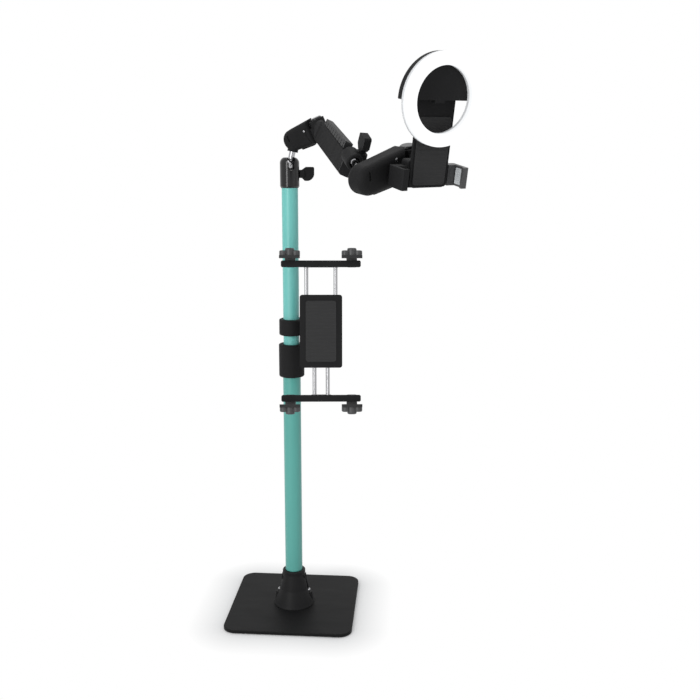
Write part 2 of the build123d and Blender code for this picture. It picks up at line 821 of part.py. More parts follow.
def jaw(start):
    """Right-hand jaw: arm from start outwards behind the phone, side wall, and lip over the phone's edge."""
    wall_inner = phone_width / 2 + jaw_pad_thickness
    wall_outer = wall_inner + jaw_wall
    front = -phone_thickness - jaw_pad_thickness - jaw_lip_depth
    outline = Polyline(
        (start, jaw_arm_front), (wall_inner, jaw_arm_front), (wall_inner, front + jaw_lip_depth),
        (wall_outer - jaw_lip_reach, front + jaw_lip_depth), (wall_outer - jaw_lip_reach, front),
        (wall_outer, front), (wall_outer, jaw_back), (start, jaw_back), close=True)
    solid = extrude(make_face(outline), jaw_half_height, both=True)
    corners = solid.edges().filter_by(Axis.Z).group_by(Axis.X)[-1]
    return fillet(corners, jaw_round)


def left_jaw():
    """Fixed jaw, bolted flush to the housing."""
    return jaw_frame * mirror(jaw(holder_half_width), Plane.YZ)


def right_jaw():
    """Sliding jaw, with the seats of its two rods."""
    start = holder_half_width + jaw_gap
    body = jaw(start)
    for side in (-1, 1):
        seat = along_x(jaw_rod_radius + seat_fit, start - overrun, start + jaw_rod_seat)
        body -= Pos(0, jaw_rod_depth, side * jaw_rod_rise) * seat
    return jaw_frame * body


def jaw_pad(side):
    """Rubber pad on a jaw's inner wall."""
    inner = phone_width / 2
    front = -phone_thickness
    pad = block(inner, inner + jaw_pad_thickness, front, jaw_arm_front - jaw_pad_thickness,
                -jaw_pad_half_height, jaw_pad_half_height)
    return jaw_frame * (pad if side > 0 else mirror(pad, Plane.YZ))


def jaw_rod(side):
    start = holder_half_width + jaw_gap + jaw_rod_seat
    rod = along_x(jaw_rod_radius, start - jaw_rod_length, start)
    return jaw_frame * Pos(0, jaw_rod_depth, side * jaw_rod_rise) * rod


def rest_panel(front, back, half_width, low, high, corner):
    """Upright panel with rounded corners between two depths."""
    face = Plane.XZ * RectangleRounded(2 * half_width, high - low, corner)
    panel = extrude(face, back - front)
    return Pos(0, back, (low + high) / 2) * panel


def back_rest():
    """Slim plate up the phone's back, which the light clips on."""
    return holder_frame * rest_panel(rest_pad_thickness, rest_pad_thickness + rest_thickness, rest_half_width,
                                     -holder_half_height, rest_top, rest_corner)


def back_rest_pad():
    return holder_frame * rest_panel(0, rest_pad_thickness, rest_half_width - holder_round,
                                     holder_round - holder_half_height, rest_pad_top, rest_corner - holder_round)


jaw_rod_depth = (jaw_arm_front + jaw_back) / 2


# Ring light
ring_back = ring_depth - ring_front
housing_back = ring_back + housing_depth
plate_front = rest_pad_thickness
plate_back = rest_pad_thickness + rest_thickness
clip_front = plate_back + clip_pad_gap + clip_pad_thickness
hinge_depth = (housing_back + clip_front) / 2


def light_ring():
    """Glowing ring of the light."""
    ring = along_y(ring_radius, -ring_front, ring_back)
    ring -= along_y(ring_hole_radius, -ring_front - overrun, ring_back + overrun)
    ring = fillet(ring.edges().group_by(Axis.Y)[0], ring_round)
    return light_frame * ring


def light_housing():
    """Half disc behind the ring: battery housing with tab, hinge ears, button hole and charging inlet."""
    disc = along_y(housing_radius, ring_back, housing_back)
    disc &= block(-ring_radius, ring_radius, ring_back - overrun, housing_back + overrun, -housing_edge, ring_radius)
    disc = fillet(disc.edges().group_by(Axis.Y)[-1], housing_round)
    disc += block(-tab_half_width, tab_half_width, ring_back, housing_back - housing_round,
                  -tab_drop, housing_round)
    for side in (-1, 1):
        x = side * hinge_ear_offset
        ear = along_x(hinge_ear_radius, x - hinge_ear_width / 2, x + hinge_ear_width / 2)
        ear = Pos(0, hinge_depth, hinge_rise) * ear
        ear += block(x - hinge_ear_width / 2, x + hinge_ear_width / 2, housing_back - housing_round, hinge_depth,
                     hinge_rise - hinge_ear_radius, hinge_rise + hinge_ear_radius)
        disc += ear
    disc -= Pos(0, hinge_depth, hinge_rise) * along_x(hinge_pin_radius + seat_fit, -clip_half_width, clip_half_width)
    hole_floor = housing_back + button_proud - button_height - button_travel - body_gap
    hole = along_y(button_radius + button_fit, hole_floor, housing_back + overrun)
    disc -= Pos(button_offset, 0, button_rise) * hole
    inlet = block(-inlet_width / 2, inlet_width / 2, housing_back - inlet_depth, housing_back + overrun,
                  -inlet_height / 2, inlet_height / 2)
    return light_frame * (disc - Pos(-button_offset, 0, button_rise) * inlet)


def front_pad():
    """Rubber pad in front of the plate's edge."""
    return light_frame * block(-clip_pad_half_width, clip_pad_half_width, housing_back - housing_round,
                               plate_front - clip_pad_gap, -tab_drop, -housing_edge)


def clip_arm():
    """Sprung rear arm of the clip: a rounded tongue with ears on the hinge pin."""
    height = clip_top + clip_bottom
    tongue = extrude(Plane.XZ * RectangleRounded(2 * clip_half_width, height, clip_half_width * 2 / 3), -clip_thickness)
    arm = Pos(0, clip_front, (clip_top - clip_bottom) / 2) * tongue
    for side in (-1, 1):
        x = side * (hinge_ear_offset + hinge_ear_width + body_gap)
        ear = along_x(hinge_ear_radius, x - hinge_ear_width / 2, x + hinge_ear_width / 2)
        ear = Pos(0, hinge_depth, hinge_rise) * ear
        ear += block(x - hinge_ear_width / 2, x + hinge_ear_width / 2, hinge_depth, clip_front + clip_thickness / 2,
                     hinge_rise - hinge_ear_radius, hinge_rise + hinge_ear_radius)
        arm += ear
    span = hinge_ear_offset + 2 * hinge_ear_width
    return light_frame * (arm - Pos(0, hinge_depth, hinge_rise) * along_x(hinge_pin_radius + running_fit, -span, span))


def clip_pad():
    return light_frame * block(-clip_pad_half_width, clip_pad_half_width, plate_back + clip_pad_gap, clip_front,
                               -clip_bottom + clip_pad_thickness, -clip_pad_gap)


def clip_pin():
    span = hinge_ear_offset + hinge_ear_width * 3 / 2 + body_gap
    return light_frame * Pos(0, hinge_depth, hinge_rise) * along_x(hinge_pin_radius, -span, span)


def clip_spring():
    """Torsion spring round the clip's pin, one unbroken wire."""
    length = spring_turns * spring_pitch
    path = Helix(spring_pitch, length, spring_radius)
    section = Plane(origin=path @ 0, z_dir=path % 0) * Circle(spring_wire / 2)
    coil = sweep(section, path=path)
    return light_frame * Pos(-length / 2, hinge_depth, hinge_rise) * Rot(0, 90, 0) * coil


def light_button():
    """Power button on the housing's back."""
    button = along_y(button_radius, housing_back + button_proud - button_height, housing_back + button_proud)
    return light_frame * Pos(button_offset, 0, button_rise) * button


# Tablet clamp and arm
def clamp_body():
    """Ring on the upper tube with a boss for its knob and a fork for the swinging arm."""
    ring = upright(clamp_radius, -clamp_half_height, clamp_half_height)
    ends = ring.edges().group_by(Axis.Z)
    ring = fillet(ends[0] + ends[-1], clamp_edge)
    lug = upright(swing_barrel_radius, -clamp_half_height, clamp_half_height)
    fork = Pos(swing_reach, 0, 0) * lug
    fork += block(upper_tube_radius, swing_reach, -swing_barrel_radius, swing_barrel_radius,
                  -clamp_half_height, clamp_half_height)
    gap_height = swing_half_height + body_gap
    gap = Pos(swing_reach, 0, 0) * upright(swing_barrel_radius + body_gap, -gap_height, gap_height)
    gap += block(swing_reach, swing_reach + clamp_radius, -clamp_radius, clamp_radius, -gap_height, gap_height)
    fork -= gap
    fork -= Pos(swing_reach, 0, 0) * upright(pin_radius + seat_fit, -clamp_radius, clamp_radius)
    body = ring + fork + along_y(clamp_boss_radius, upper_tube_radius, clamp_boss_reach)
    body -= gap
    body -= upright(upper_tube_radius + running_fit, -clamp_radius, clamp_radius)
    body -= along_y(knob_screw_radius + running_fit, 0, clamp_boss_reach + overrun)
    return Pos(0, 0, clamp_height) * body


def swing_pin():
    pin = upright(pin_radius, -clamp_half_height, clamp_half_height)
    head = upright(pin_head_radius, clamp_half_height, clamp_half_height + pin_head_height)
    head = fillet(head.edges().group_by(Axis.Z)[-1], pin_head_round)
    return Pos(swing_reach, 0, clamp_height) * (pin + head)


def tablet_arm():
    """Barrel on the swing pin, a short bar to the side, and the stem with the ball behind the tablet."""
    barrel = upright(swing_barrel_radius, -swing_half_height, swing_half_height)
    side = tablet_ball_x - swing_reach
    bar = block(0, side, -arm_bar_width / 2, arm_bar_width / 2, -arm_half_height, arm_half_height)
    corner = Pos(side, 0, 0) * upright(arm_bar_width / 2, -arm_half_height, arm_half_height)
    stem = Pos(side, 0, 0) * along_y(tablet_stem_radius, tablet_ball_y, 0)
    ball = Pos(side, tablet_ball_y, 0) * Sphere(tablet_ball_radius)
    arm = barrel + bar + corner + stem + ball
    arm -= upright(pin_radius + running_fit, -clamp_radius, clamp_radius)
    return Pos(swing_reach, 0, clamp_height) * arm


# Tablet holder
def tablet_socket():
    """Socket round the arm's ball, with the bolt that the holder turns on."""
    front = core_back + socket_front_gap
    seat_radius = tablet_ball_radius + ball_fit
    body = along_y(socket_radius, front, tablet_ball_offset + socket_lip)
    body -= Pos(0, tablet_ball_offset, 0) * Sphere(seat_radius)
    body += along_y(turn_bolt_radius, front - turn_bolt_length, front)
    return tablet_frame * body


def tablet_nut():
    """Fluted ring nut that closes the socket on the ball."""
    ring = along_y(nut_radius, nut_start, nut_end)
    ring = chamfer(ring.edges().group_by(Axis.Y)[-1], knob_edge)
    ring -= along_y(socket_radius + running_fit, nut_start - overrun, nut_end - nut_lip)
    ring -= along_y(nut_mouth_radius, nut_start, nut_end + overrun)
    for index in range(nut_flutes):
        angle = 360 * index / nut_flutes
        flute = Pos(nut_radius + nut_flute_radius / 2, 0, 0) * along_y(
            nut_flute_radius, nut_start - overrun, nut_end + overrun)
        ring -= Rot(0, angle, 0) * flute
    return tablet_frame * ring


def tablet_core():
    """Back housing of the tablet holder, bored for the turn bolt and both pairs of rods."""
    core = block(-core_half_width, core_half_width, core_front, core_back, -core_half_height, core_half_height)
    core = fillet(core.edges().filter_by(Axis.Y), core_round)
    core = chamfer(core.faces().sort_by(Axis.Y)[-1].edges(), core_round / 3)
    core -= along_y(turn_bolt_radius + running_fit, core_back + socket_front_gap - turn_bolt_length - body_gap,
                    core_back + overrun)
    for side in (-1, 1):
        upper = upright(rod_radius + running_fit, upper_rod_bore, core_half_height + overrun)
        core -= Pos(side * upper_rod_offset, rod_depth, 0) * upper
        lower = upright(rod_radius + seat_fit, -core_half_height - overrun, lower_rod_top)
        core -= Pos(side * lower_rod_offset, rod_depth, 0) * lower
    return tablet_frame * core


def tablet_core_pad():
    """Rubber pad on the front of the core."""
    pad = rest_panel(core_front - core_pad_thickness, core_front, core_half_width - core_pad_margin,
                     core_pad_margin - core_half_height, core_half_height - core_pad_margin, core_round)
    return tablet_frame * pad


rod_depth = (core_front + core_back) / 2
bar_top = tablet_height / 2 - bar_margin
bar_base = bar_top - bar_height


def upper_rod(side):
    rod = upright(rod_radius, upper_rod_bottom, bar_base + rod_seat)
    return tablet_frame * Pos(side * upper_rod_offset, rod_depth, 0) * rod


def lower_rod(side):
    rod = upright(rod_radius, -bar_base - rod_seat, lower_rod_top)
    return tablet_frame * Pos(side * lower_rod_offset, rod_depth, 0) * rod


def flip(solid, up):
    """Upper pieces stand as drawn, lower ones are mirrored in the holder's middle."""
    return tablet_frame * (solid if up else mirror(solid, Plane.XY))


def crossbar(up):
    """Bar behind the tablet's edge that joins two claws to the rods."""
    offset = upper_rod_offset if up else lower_rod_offset
    bar = block(-bar_half_width, bar_half_width, core_front, core_back - claw_web_depth, bar_base, bar_top)
    bar += block(-offset - 2 * rod_radius, offset + 2 * rod_radius, core_front, core_back, bar_base, bar_top)
    bar = fillet(bar.edges().filter_by(Axis.Y), bar_round)
    for side in (-1, 1):
        seat = upright(rod_radius + seat_fit, bar_base - overrun, bar_base + rod_seat)
        bar -= Pos(side * offset, rod_depth, 0) * seat
    return flip(bar, up)


def claw_lobe(x, y, radius, height):
    """One rounded lobe of a claw."""
    lobe = upright(radius, 0, height)
    return Pos(x, y, 0) * fillet(lobe.edges().group_by(Axis.Z)[-1], claw_edge)


def claw(side, up):
    """Claw of three lobes over the tablet's edge, on a web behind the crossbar."""
    edge = tablet_height / 2 + claw_pad_thickness
    front = -tablet_thickness - claw_pad_thickness
    web_front = core_back - claw_web_depth
    web = block(-claw_web_half_width, claw_web_half_width, web_front, core_back, bar_base, edge + claw_web_rise)
    web = fillet(web.edges().filter_by(Axis.Y), bar_round)
    body = web + block(-claw_web_half_width + bar_round, claw_web_half_width - bar_round, front + claw_side_lobe,
                       web_front + bar_round, edge, edge + claw_web_rise - bar_round)
    top = claw_thickness + claw_hump_height
    lobes = claw_lobe(0, front + claw_mid_lobe, claw_mid_lobe, top)
    for end in (-1, 1):
        lobes += claw_lobe(end * (claw_half_width - claw_side_lobe), front + claw_side_lobe, claw_side_lobe,
                           claw_thickness)
    lobes -= Pos(0, front + claw_mid_lobe, 0) * upright(claw_dimple_radius, top - claw_dimple_depth, top + overrun)
    body += Pos(0, 0, edge) * lobes
    return flip(Pos(side * claw_spacing / 2, 0, 0) * body, up)


def claw_pad(side, up):
    """Rubber grip under a claw, turned down over the tablet's front edge."""
    edge = tablet_height / 2
    front = -tablet_thickness - claw_pad_thickness
    half = claw_half_width - claw_side_lobe
    sole = block(-half, half, front, 0, edge, edge + claw_pad_thickness)
    lip_front = front - claw_lip_depth
    lip = Pos(0, 0, edge - claw_lip_overlap) * extrude(
        Pos(0, (front + lip_front) / 2) * SlotOverall(2 * claw_half_width, claw_lip_depth),
        claw_lip_overlap + claw_pad_thickness)
    return flip(Pos(side * claw_spacing / 2, 0, 0) * (sole + lip), up)


def pair(make, *args):
    """The same piece at the left and at the right."""
    return [make(side, *args) for side in (-1, 1)]


# Base and pole
export("base_plate", base_plate())
export("base_pad", base_pad())
export("base_bolt", base_bolt())
export("foot_plug", foot_plug())
export("base_hub", base_hub())
export("hub_screws", *pair(hub_screw))
export("lower_tube", pipe(lower_tube_radius, lower_bore, plate_top, lower_tube_top))
export("height_collar", height_collar())
collar_knob = lobed_knob(upper_tube_radius + body_gap, collar_boss_reach + body_gap)
export("collar_knob", Pos(0, 0, collar_screw_height) * collar_knob)
export("upper_tube", pipe(upper_tube_radius, upper_bore, upper_tube_bottom, upper_tube_top))
export("glide_plug", glide_plug())

# Pole head and arm
export("head_stud", head_stud())
export("head_body", head_body())
export("head_cup", head_cup())
export("head_wing", head_wing())
export("head_ball", stem_frame * ball_stem(head_ball_radius, head_stem_radius, stem_reach - stem_inset))
export("near_link", near_link())
export("elbow_pin", elbow_frame * hinge_pin())
export("beam", beam())
export("beam_knuckle", beam_knuckle())
export("beam_rack", beam_rack())
export("beam_head", beam_head())
export("reach_lever", reach_lever())
export("reach_ball",
       reach_ball_frame * ball_stem(reach_ball_radius, reach_stem_radius, reach_stem_length - stem_inset))
export("far_link", far_link())
export("wrist_pin", far_frame * Pos(far_reach, 0, 0) * hinge_pin())

# Phone holder
export("wrist_knuckle", wrist_knuckle())
export("holder_body", holder_body())
export("left_jaw", left_jaw())
export("left_jaw_pad", jaw_pad(-1))
export("right_jaw", right_jaw())
export("right_jaw_pad", jaw_pad(1))
export("jaw_rods", *pair(jaw_rod))
export("back_rest", back_rest())
export("back_rest_pad", back_rest_pad())

# Ring light
export("light_ring", light_ring())
export("light_housing", light_housing())
export("front_pad", front_pad())
export("clip_arm", clip_arm())
export("clip_pad", clip_pad())
export("clip_pin", clip_pin())
export("clip_spring", clip_spring())
export("light_button", light_button())

# Tablet holder
export("clamp_body", clamp_body())
export("swing_pin", swing_pin())
clamp_knob = lobed_knob(upper_tube_radius + body_gap, clamp_boss_reach + body_gap)
export("clamp_knob", Pos(0, 0, clamp_height) * Rot(0, 0, 90) * clamp_knob)
export("tablet_arm", tablet_arm())
export("tablet_socket", tablet_socket())
export("tablet_nut", tablet_nut())
export("tablet_core", tablet_core())
export("tablet_core_pad", tablet_core_pad())
export("upper_rods", *pair(upper_rod))
export("lower_rods", *pair(lower_rod))
for level, up in (("upper", True), ("lower", False)):
    export(f"{level}_bar", crossbar(up))
    export(f"{level}_claws", *pair(claw, up))
    export(f"{level}_claw_pads", *pair(claw_pad, up))
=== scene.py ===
import json
import math

import bmesh
import bpy
import numpy as np
from mathutils import Matrix, Vector


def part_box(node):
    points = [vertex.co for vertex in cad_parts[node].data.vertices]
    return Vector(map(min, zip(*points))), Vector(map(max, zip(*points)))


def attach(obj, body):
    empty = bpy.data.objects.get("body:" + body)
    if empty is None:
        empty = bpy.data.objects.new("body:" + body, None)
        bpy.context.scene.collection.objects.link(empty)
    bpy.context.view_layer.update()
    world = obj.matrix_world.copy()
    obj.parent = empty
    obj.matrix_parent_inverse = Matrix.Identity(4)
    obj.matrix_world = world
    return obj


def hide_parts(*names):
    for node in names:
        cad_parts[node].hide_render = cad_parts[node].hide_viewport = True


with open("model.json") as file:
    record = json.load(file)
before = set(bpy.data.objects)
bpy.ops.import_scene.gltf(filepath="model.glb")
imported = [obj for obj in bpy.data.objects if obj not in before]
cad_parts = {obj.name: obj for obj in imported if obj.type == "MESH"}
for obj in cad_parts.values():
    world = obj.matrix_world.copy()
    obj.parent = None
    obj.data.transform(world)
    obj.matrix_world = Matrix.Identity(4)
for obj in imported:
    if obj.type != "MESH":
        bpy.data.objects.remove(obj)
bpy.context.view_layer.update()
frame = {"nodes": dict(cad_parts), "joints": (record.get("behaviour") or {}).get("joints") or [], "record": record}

bl_info = {
    "name": "Tablet and phone floor stand",
    "version": (1, 0, 0),
    "blender": (4, 5, 0),
    "location": "View3D > Sidebar > Stand",
    "description": "Trim, finishes and studio for the adjustable floor stand",
    "category": "Object",
}

joints = {joint["name"]: joint for joint in frame["joints"]}
up_axis = np.array([0.0, 0.0, 1.0])
x_axis = np.array([1.0, 0.0, 0.0])
sharp_angle = math.radians(50)

# Camera of the photograph: side and focal length in pixels, place in metres, and directions
photo_side = 700
focal_length = 896.149
sensor_width = 36.0
camera_place = (0.1914, -1.379, 0.728)
camera_forward = (-0.0699, 0.9764, -0.2043)
camera_level = (0.9974, 0.0714, 0.0)
camera_roll = 0.00244

# Point in the middle of the stand that the lamps face
lamp_target = Vector((0.05, -0.15, 0.5))


def joint_place(name):
    """Position of a hinge as an array in metres."""
    return np.array(joints[name]["pos_m"], float)


def joint_axis(name):
    """Unit axis of a joint."""
    axis = np.array(joints[name]["axis"], float)
    return axis / np.linalg.norm(axis)


# Sizes and colours that a user would change


class StandTrim(bpy.types.PropertyGroup):
    """Sizes of the small trim."""

    seal_thickness: bpy.props.FloatProperty(
        name="Seal thickness", description="Thickness of the seal under the ball head",
        default=0.0011, min=0.0002, max=0.004, unit="LENGTH")
    # The neck ring is painted shade: a thin dark ring for the shade in the groove where each ball meets its stem
    neck_shade_ring: bpy.props.FloatProperty(
        name="Neck shade ring", description="Thickness of the dark ring on the neck of each ball",
        default=0.0005, min=0.0001, max=0.002, unit="LENGTH")
    rib_thickness: bpy.props.FloatProperty(
        name="Rib thickness", description="Thickness of the slanting ribs on the hub's lip",
        default=0.0007, min=0.0001, max=0.002, unit="LENGTH")
    rib_count: bpy.props.IntProperty(
        name="Ribs", description="Number of slanting ribs on each side of the hub's lip",
        default=3, min=1, max=8)
    # The drive recesses are painted shade: a dark gloss dish in each hub screw's head, nearly flush with it
    recess_shade_radius: bpy.props.FloatProperty(
        name="Recess shade radius", description="Radius of the drive recess in the hub's screws",
        default=0.0019, min=0.0005, max=0.003, unit="LENGTH")
    screw_radius: bpy.props.FloatProperty(
        name="Link screw radius", description="Radius of the small screws on the links",
        default=0.0017, min=0.0008, max=0.003, unit="LENGTH")
    groove_share: bpy.props.FloatProperty(
        name="Pad grooves", description="Depth of the pads' grooves as a share of their thickness",
        default=0.4, min=0, max=0.9, subtype="FACTOR")
    cap_radius: bpy.props.FloatProperty(
        name="Knob cap radius", description="Radius of the domed cap on each clamp knob",
        default=0.0072, min=0.003, max=0.01, unit="LENGTH")


class StandFinishes(bpy.types.PropertyGroup):
    """Colours of the finishes, and the glow of the ring light."""

    moulding: bpy.props.FloatVectorProperty(
        name="Moulded black", description="Colour of the moulded plastic parts",
        default=(0.0108, 0.0108, 0.0112), size=3, min=0, max=1, subtype="COLOR")
    powder: bpy.props.FloatVectorProperty(
        name="Powder coat", description="Colour of the base plate",
        default=(0.006, 0.006, 0.0063), size=3, min=0, max=1, subtype="COLOR")
    upper_teal: bpy.props.FloatVectorProperty(
        name="Upper tube", description="Enamel of the upper tube",
        default=(0.17, 0.575, 0.53), size=3, min=0, max=1, subtype="COLOR")
    lower_teal: bpy.props.FloatVectorProperty(
        name="Lower tube", description="Enamel of the lower tube",
        default=(0.098, 0.41, 0.36), size=3, min=0, max=1, subtype="COLOR")
    grey: bpy.props.FloatVectorProperty(
        name="Dark grey", description="Colour of the claws and the right jaw",
        default=(0.062, 0.062, 0.063), size=3, min=0, max=1, subtype="COLOR")
    glow: bpy.props.FloatProperty(
        name="Ring glow", description="Strength of the ring light's glow",
        default=0.97, min=0, max=5)
    band_share: bpy.props.FloatProperty(
        name="Ring band", description="Width of the lit band as a share of the ring's radius",
        default=0.283, min=0.05, max=0.9, subtype="FACTOR")


class StandStudio(bpy.types.PropertyGroup):
    """Light and floor of the studio."""

    key: bpy.props.FloatProperty(
        name="Key light", description="Power of the tall light at the left",
        default=35.0, min=0, unit="POWER")
    fill: bpy.props.FloatProperty(
        name="Fill light", description="Power of the tall light at the right",
        default=1.5, min=0, unit="POWER")
    top: bpy.props.FloatProperty(
        name="Top light", description="Power of the light overhead",
        default=14.0, min=0, unit="POWER")
    ambient: bpy.props.FloatProperty(
        name="Ambient", description="Strength of the even light from all round",
        default=0.42, min=0, max=2)
    shadow: bpy.props.FloatProperty(
        name="Shadow share", description="How much of the floor near the stand takes its shadow",
        default=0.9, min=0, max=1, subtype="FACTOR")
    shadow_reach: bpy.props.FloatProperty(
        name="Shadow reach", description="Distance from the plate where the floor is plain white",
        default=0.06, min=0.01, max=3, unit="LENGTH")


# Shader expressions


class Signal:
    """A socket that can be used in sums; each operation adds a Math node."""

    def __init__(self, shading, socket):
        self.shading = shading
        self.socket = socket

    def math(self, operation, *values):
        return self.shading.node("ShaderNodeMath", {"operation": operation}, [self, *values])

    def __add__(self, other):
        return self.math("ADD", other)

    def __sub__(self, other):
        return self.math("SUBTRACT", other)

    def __rsub__(self, other):
        return self.shading.node("ShaderNodeMath", {"operation": "SUBTRACT"}, [other, self])

    def __mul__(self, other):
        return self.math("MULTIPLY", other)

    __radd__ = __add__
    __rmul__ = __mul__

    def __truediv__(self, other):
        return self.math("DIVIDE", other)

    def __pow__(self, other):
        return self.math("POWER", other)

    def clamp(self):
        return self.shading.node("ShaderNodeClamp", {}, [self])


class Shading:
    """A node tree that is built from expressions."""

    def __init__(self, tree):
        self.tree = tree
        self.tree.nodes.clear()

    def feed(self, socket, value):
        """Link a Signal to a socket, or set a plain value on it."""
        if isinstance(value, Signal):
            self.tree.links.new(value.socket, socket)
        else:
            if socket.type == "RGBA" and len(value) == 3:
                value = (*value, 1.0)
            socket.default_value = value

    def node(self, kind, settings, inputs, output=0):
        """Add any node: its settings first, then its sockets by order or by name."""
        node = self.tree.nodes.new(kind)
        for key, value in settings.items():
            setattr(node, key, value)
        pairs = inputs.items() if isinstance(inputs, dict) else enumerate(inputs)
        for key, value in pairs:
            self.feed(node.inputs[key], value)
        return Signal(self, node.outputs[output])

    def background_rays(self):
        """1 for a ray from the camera, a mirror or a glass, and 0 for the rays that light the object."""
        kinds = ("Is Camera Ray", "Is Glossy Ray", "Is Transmission Ray")
        rays = [self.node("ShaderNodeLightPath", {}, [], kind) for kind in kinds]
        return (rays[0] + rays[1] + rays[2]).clamp()


class Finish(Shading):
    """A node material with one Principled shader."""

    def __init__(self, name):
        self.material = bpy.data.materials.new(name)
        self.material.use_nodes = True
        super().__init__(self.material.node_tree)
        self.output = self.tree.nodes.new("ShaderNodeOutputMaterial")
        self.shader = self.tree.nodes.new("ShaderNodeBsdfPrincipled")
        self.tree.links.new(self.shader.outputs[0], self.output.inputs["Surface"])

    def place(self, turn=(0, 0, 0), stretch=(1, 1, 1)):
        """Object coordinates, turned and stretched."""
        coordinates = self.node("ShaderNodeTexCoord", {}, [], "Object")
        mapping = {"Vector": coordinates, "Rotation": turn, "Scale": stretch}
        return self.node("ShaderNodeMapping", {}, mapping)

    def vector(self, operation, *values, output=0):
        """Vector Math node; its output named Value is a number."""
        return self.node("ShaderNodeVectorMath", {"operation": operation}, list(values), output)

    def noise(self, where, scale, detail=3.0, roughness=0.55):
        """Even noise between 0 and 1."""
        sockets = {"Vector": where, "Scale": scale, "Detail": detail, "Roughness": roughness}
        return self.node("ShaderNodeTexNoise", {}, sockets, "Fac")

    def cells(self, where, scale, feature):
        """Distance to the nearest of many scattered points, sharp (F1) or smooth (SMOOTH_F1)."""
        return self.node("ShaderNodeTexVoronoi", {"feature": feature}, {"Vector": where, "Scale": scale})

    def blend(self, factor, first, second):
        """Colour that runs from the first to the second."""
        return self.node("ShaderNodeMix", {"data_type": "RGBA"}, {"Factor": factor, 6: first, 7: second}, 2)

    def edge_wear_and_highlight(self, radius, patches):
        """Share of the edges, in patches, that are lighter both from wear and from a painted rim highlight: how
        far the normal, rounded over a radius, leans from the true one."""
        gain, patch_gain, patch_level = 4.0, 1.6, 0.25
        rounded = self.node("ShaderNodeBevel", {"samples": 4}, {"Radius": radius}, "Normal")
        true = self.node("ShaderNodeNewGeometry", {}, [], "Normal")
        level = self.vector("DOT_PRODUCT", rounded, true, output="Value")
        return ((1 - level) * gain * (patches * patch_gain - patch_level).clamp()).clamp()

    def relief(self, height, depth, strength=1.0):
        """Bump from a height signal; depth in metres."""
        sockets = {"Height": height, "Distance": depth, "Strength": strength}
        self.set(Normal=self.node("ShaderNodeBump", {}, sockets, "Normal"))

    def set(self, **sockets):
        """Set or link sockets of the Principled shader, spaces written as underscores."""
        for key, value in sockets.items():
            self.feed(self.shader.inputs[key.replace("_", " ")], value)


def shades(colour, low, high):
    """Two shades of a colour."""
    return tuple(part * low for part in colour), tuple(part * high for part in colour)


def lighter(colour, gain, lift):
    """The colour of the edges, lighter both from wear and from a painted rim highlight."""
    return tuple(part * gain + lift for part in colour)


def moulded(name, colour, rough=0.58, grain=1.0, shine=0.13):
    """Spark-eroded moulding: fine even grain, faint flow marks, edges lighter from wear and from a painted rim
    highlight, and sheen that varies with handling."""
    finish = Finish(name)
    where = finish.place()
    flow = finish.noise(finish.place(stretch=(1, 1, 0.35)), scale=38.0, detail=4.0)
    fine = finish.noise(where, scale=2600.0, detail=2.0, roughness=0.7)
    hands = finish.noise(where, scale=24.0, detail=2.0)
    low, high = shades(colour, 0.7, 1.5)
    skin_colour = finish.blend(flow, low, high)
    # Edges lighter in patches: partly wear, partly a painted rim highlight
    wear_and_highlight = finish.edge_wear_and_highlight(radius=0.0005, patches=finish.noise(where, scale=55.0))
    finish.set(Base_Color=finish.blend(wear_and_highlight, skin_colour, lighter(colour, gain=1.6, lift=0.012)))
    finish.set(Roughness=(hands * 0.16 + rough - wear_and_highlight * 0.14).clamp())
    finish.set(Specular_IOR_Level=shine)
    finish.relief(fine * 0.7 + flow * 0.3, depth=0.00012 * grain, strength=0.55)
    return finish.material


def powder_coated(name, colour):
    """Powder coat: pebbled skin with fine pores, edges lighter from wear and from a painted rim highlight,
    and a few dull scuffs.
    """
    finish = Finish(name)
    where = finish.place()
    pebbles = finish.cells(where, scale=900.0, feature="SMOOTH_F1")
    fine = finish.noise(where, scale=3200.0, detail=2.0)
    long_marks = finish.place(turn=(0, 0, 0.5), stretch=(1, 4, 1))
    scuffs = finish.noise(long_marks, scale=12.0, detail=5.0, roughness=0.7)
    low, high = shades(colour, 0.88, 1.22)
    skin_colour = finish.blend(fine, low, high)
    # Edges lighter in patches: partly wear, partly a painted rim highlight
    wear_and_highlight = finish.edge_wear_and_highlight(radius=0.0008, patches=finish.noise(where, scale=40.0, detail=4.0))
    finish.set(Base_Color=finish.blend(wear_and_highlight, skin_colour, lighter(colour, gain=1.5, lift=0.02)))
    finish.set(Roughness=(scuffs * 0.18 + 0.46 - wear_and_highlight * 0.12).clamp())
    finish.set(Specular_IOR_Level=0.12)
    finish.relief(pebbles * 0.8 + fine * 0.2, depth=0.00018, strength=0.5)
    return finish.material


def enamelled(name, colour):
    """Sprayed enamel on tube: faint orange peel, drawn lines along the tube, clear coat."""
    finish = Finish(name)
    drawn = finish.noise(finish.place(stretch=(1, 1, 0.012)), scale=520.0)
    peel = finish.noise(finish.place(), scale=420.0, detail=2.0)
    broad = finish.noise(finish.place(), scale=9.0, detail=2.0)
    low, high = shades(colour, 0.95, 1.05)
    finish.set(Base_Color=finish.blend(broad * 0.6 + drawn * 0.4, low, high))
    finish.set(Roughness=(peel * 0.1 + 0.34).clamp())
    finish.set(Coat_Weight=0.1, Coat_Roughness=0.2)
    finish.relief(peel * 0.8 + drawn * 0.2, depth=0.00005, strength=0.4)
    return finish.material


def polished_black(name):
    """Gloss black: deep and smooth, with a very slight ripple and dust-fine haze."""
    finish = Finish(name)
    haze = finish.noise(finish.place(), scale=60.0, detail=4.0)
    ripple = finish.noise(finish.place(), scale=70.0, detail=1.0)
    finish.set(Base_Color=finish.blend(haze, (0.007, 0.007, 0.0075), (0.012, 0.012, 0.013)))
    finish.set(Roughness=(haze * 0.08 + 0.16).clamp(), Specular_IOR_Level=0.2)
    finish.set(Coat_Weight=0.25, Coat_Roughness=0.1)
    finish.relief(ripple, depth=0.00001, strength=0.1)
    return finish.material


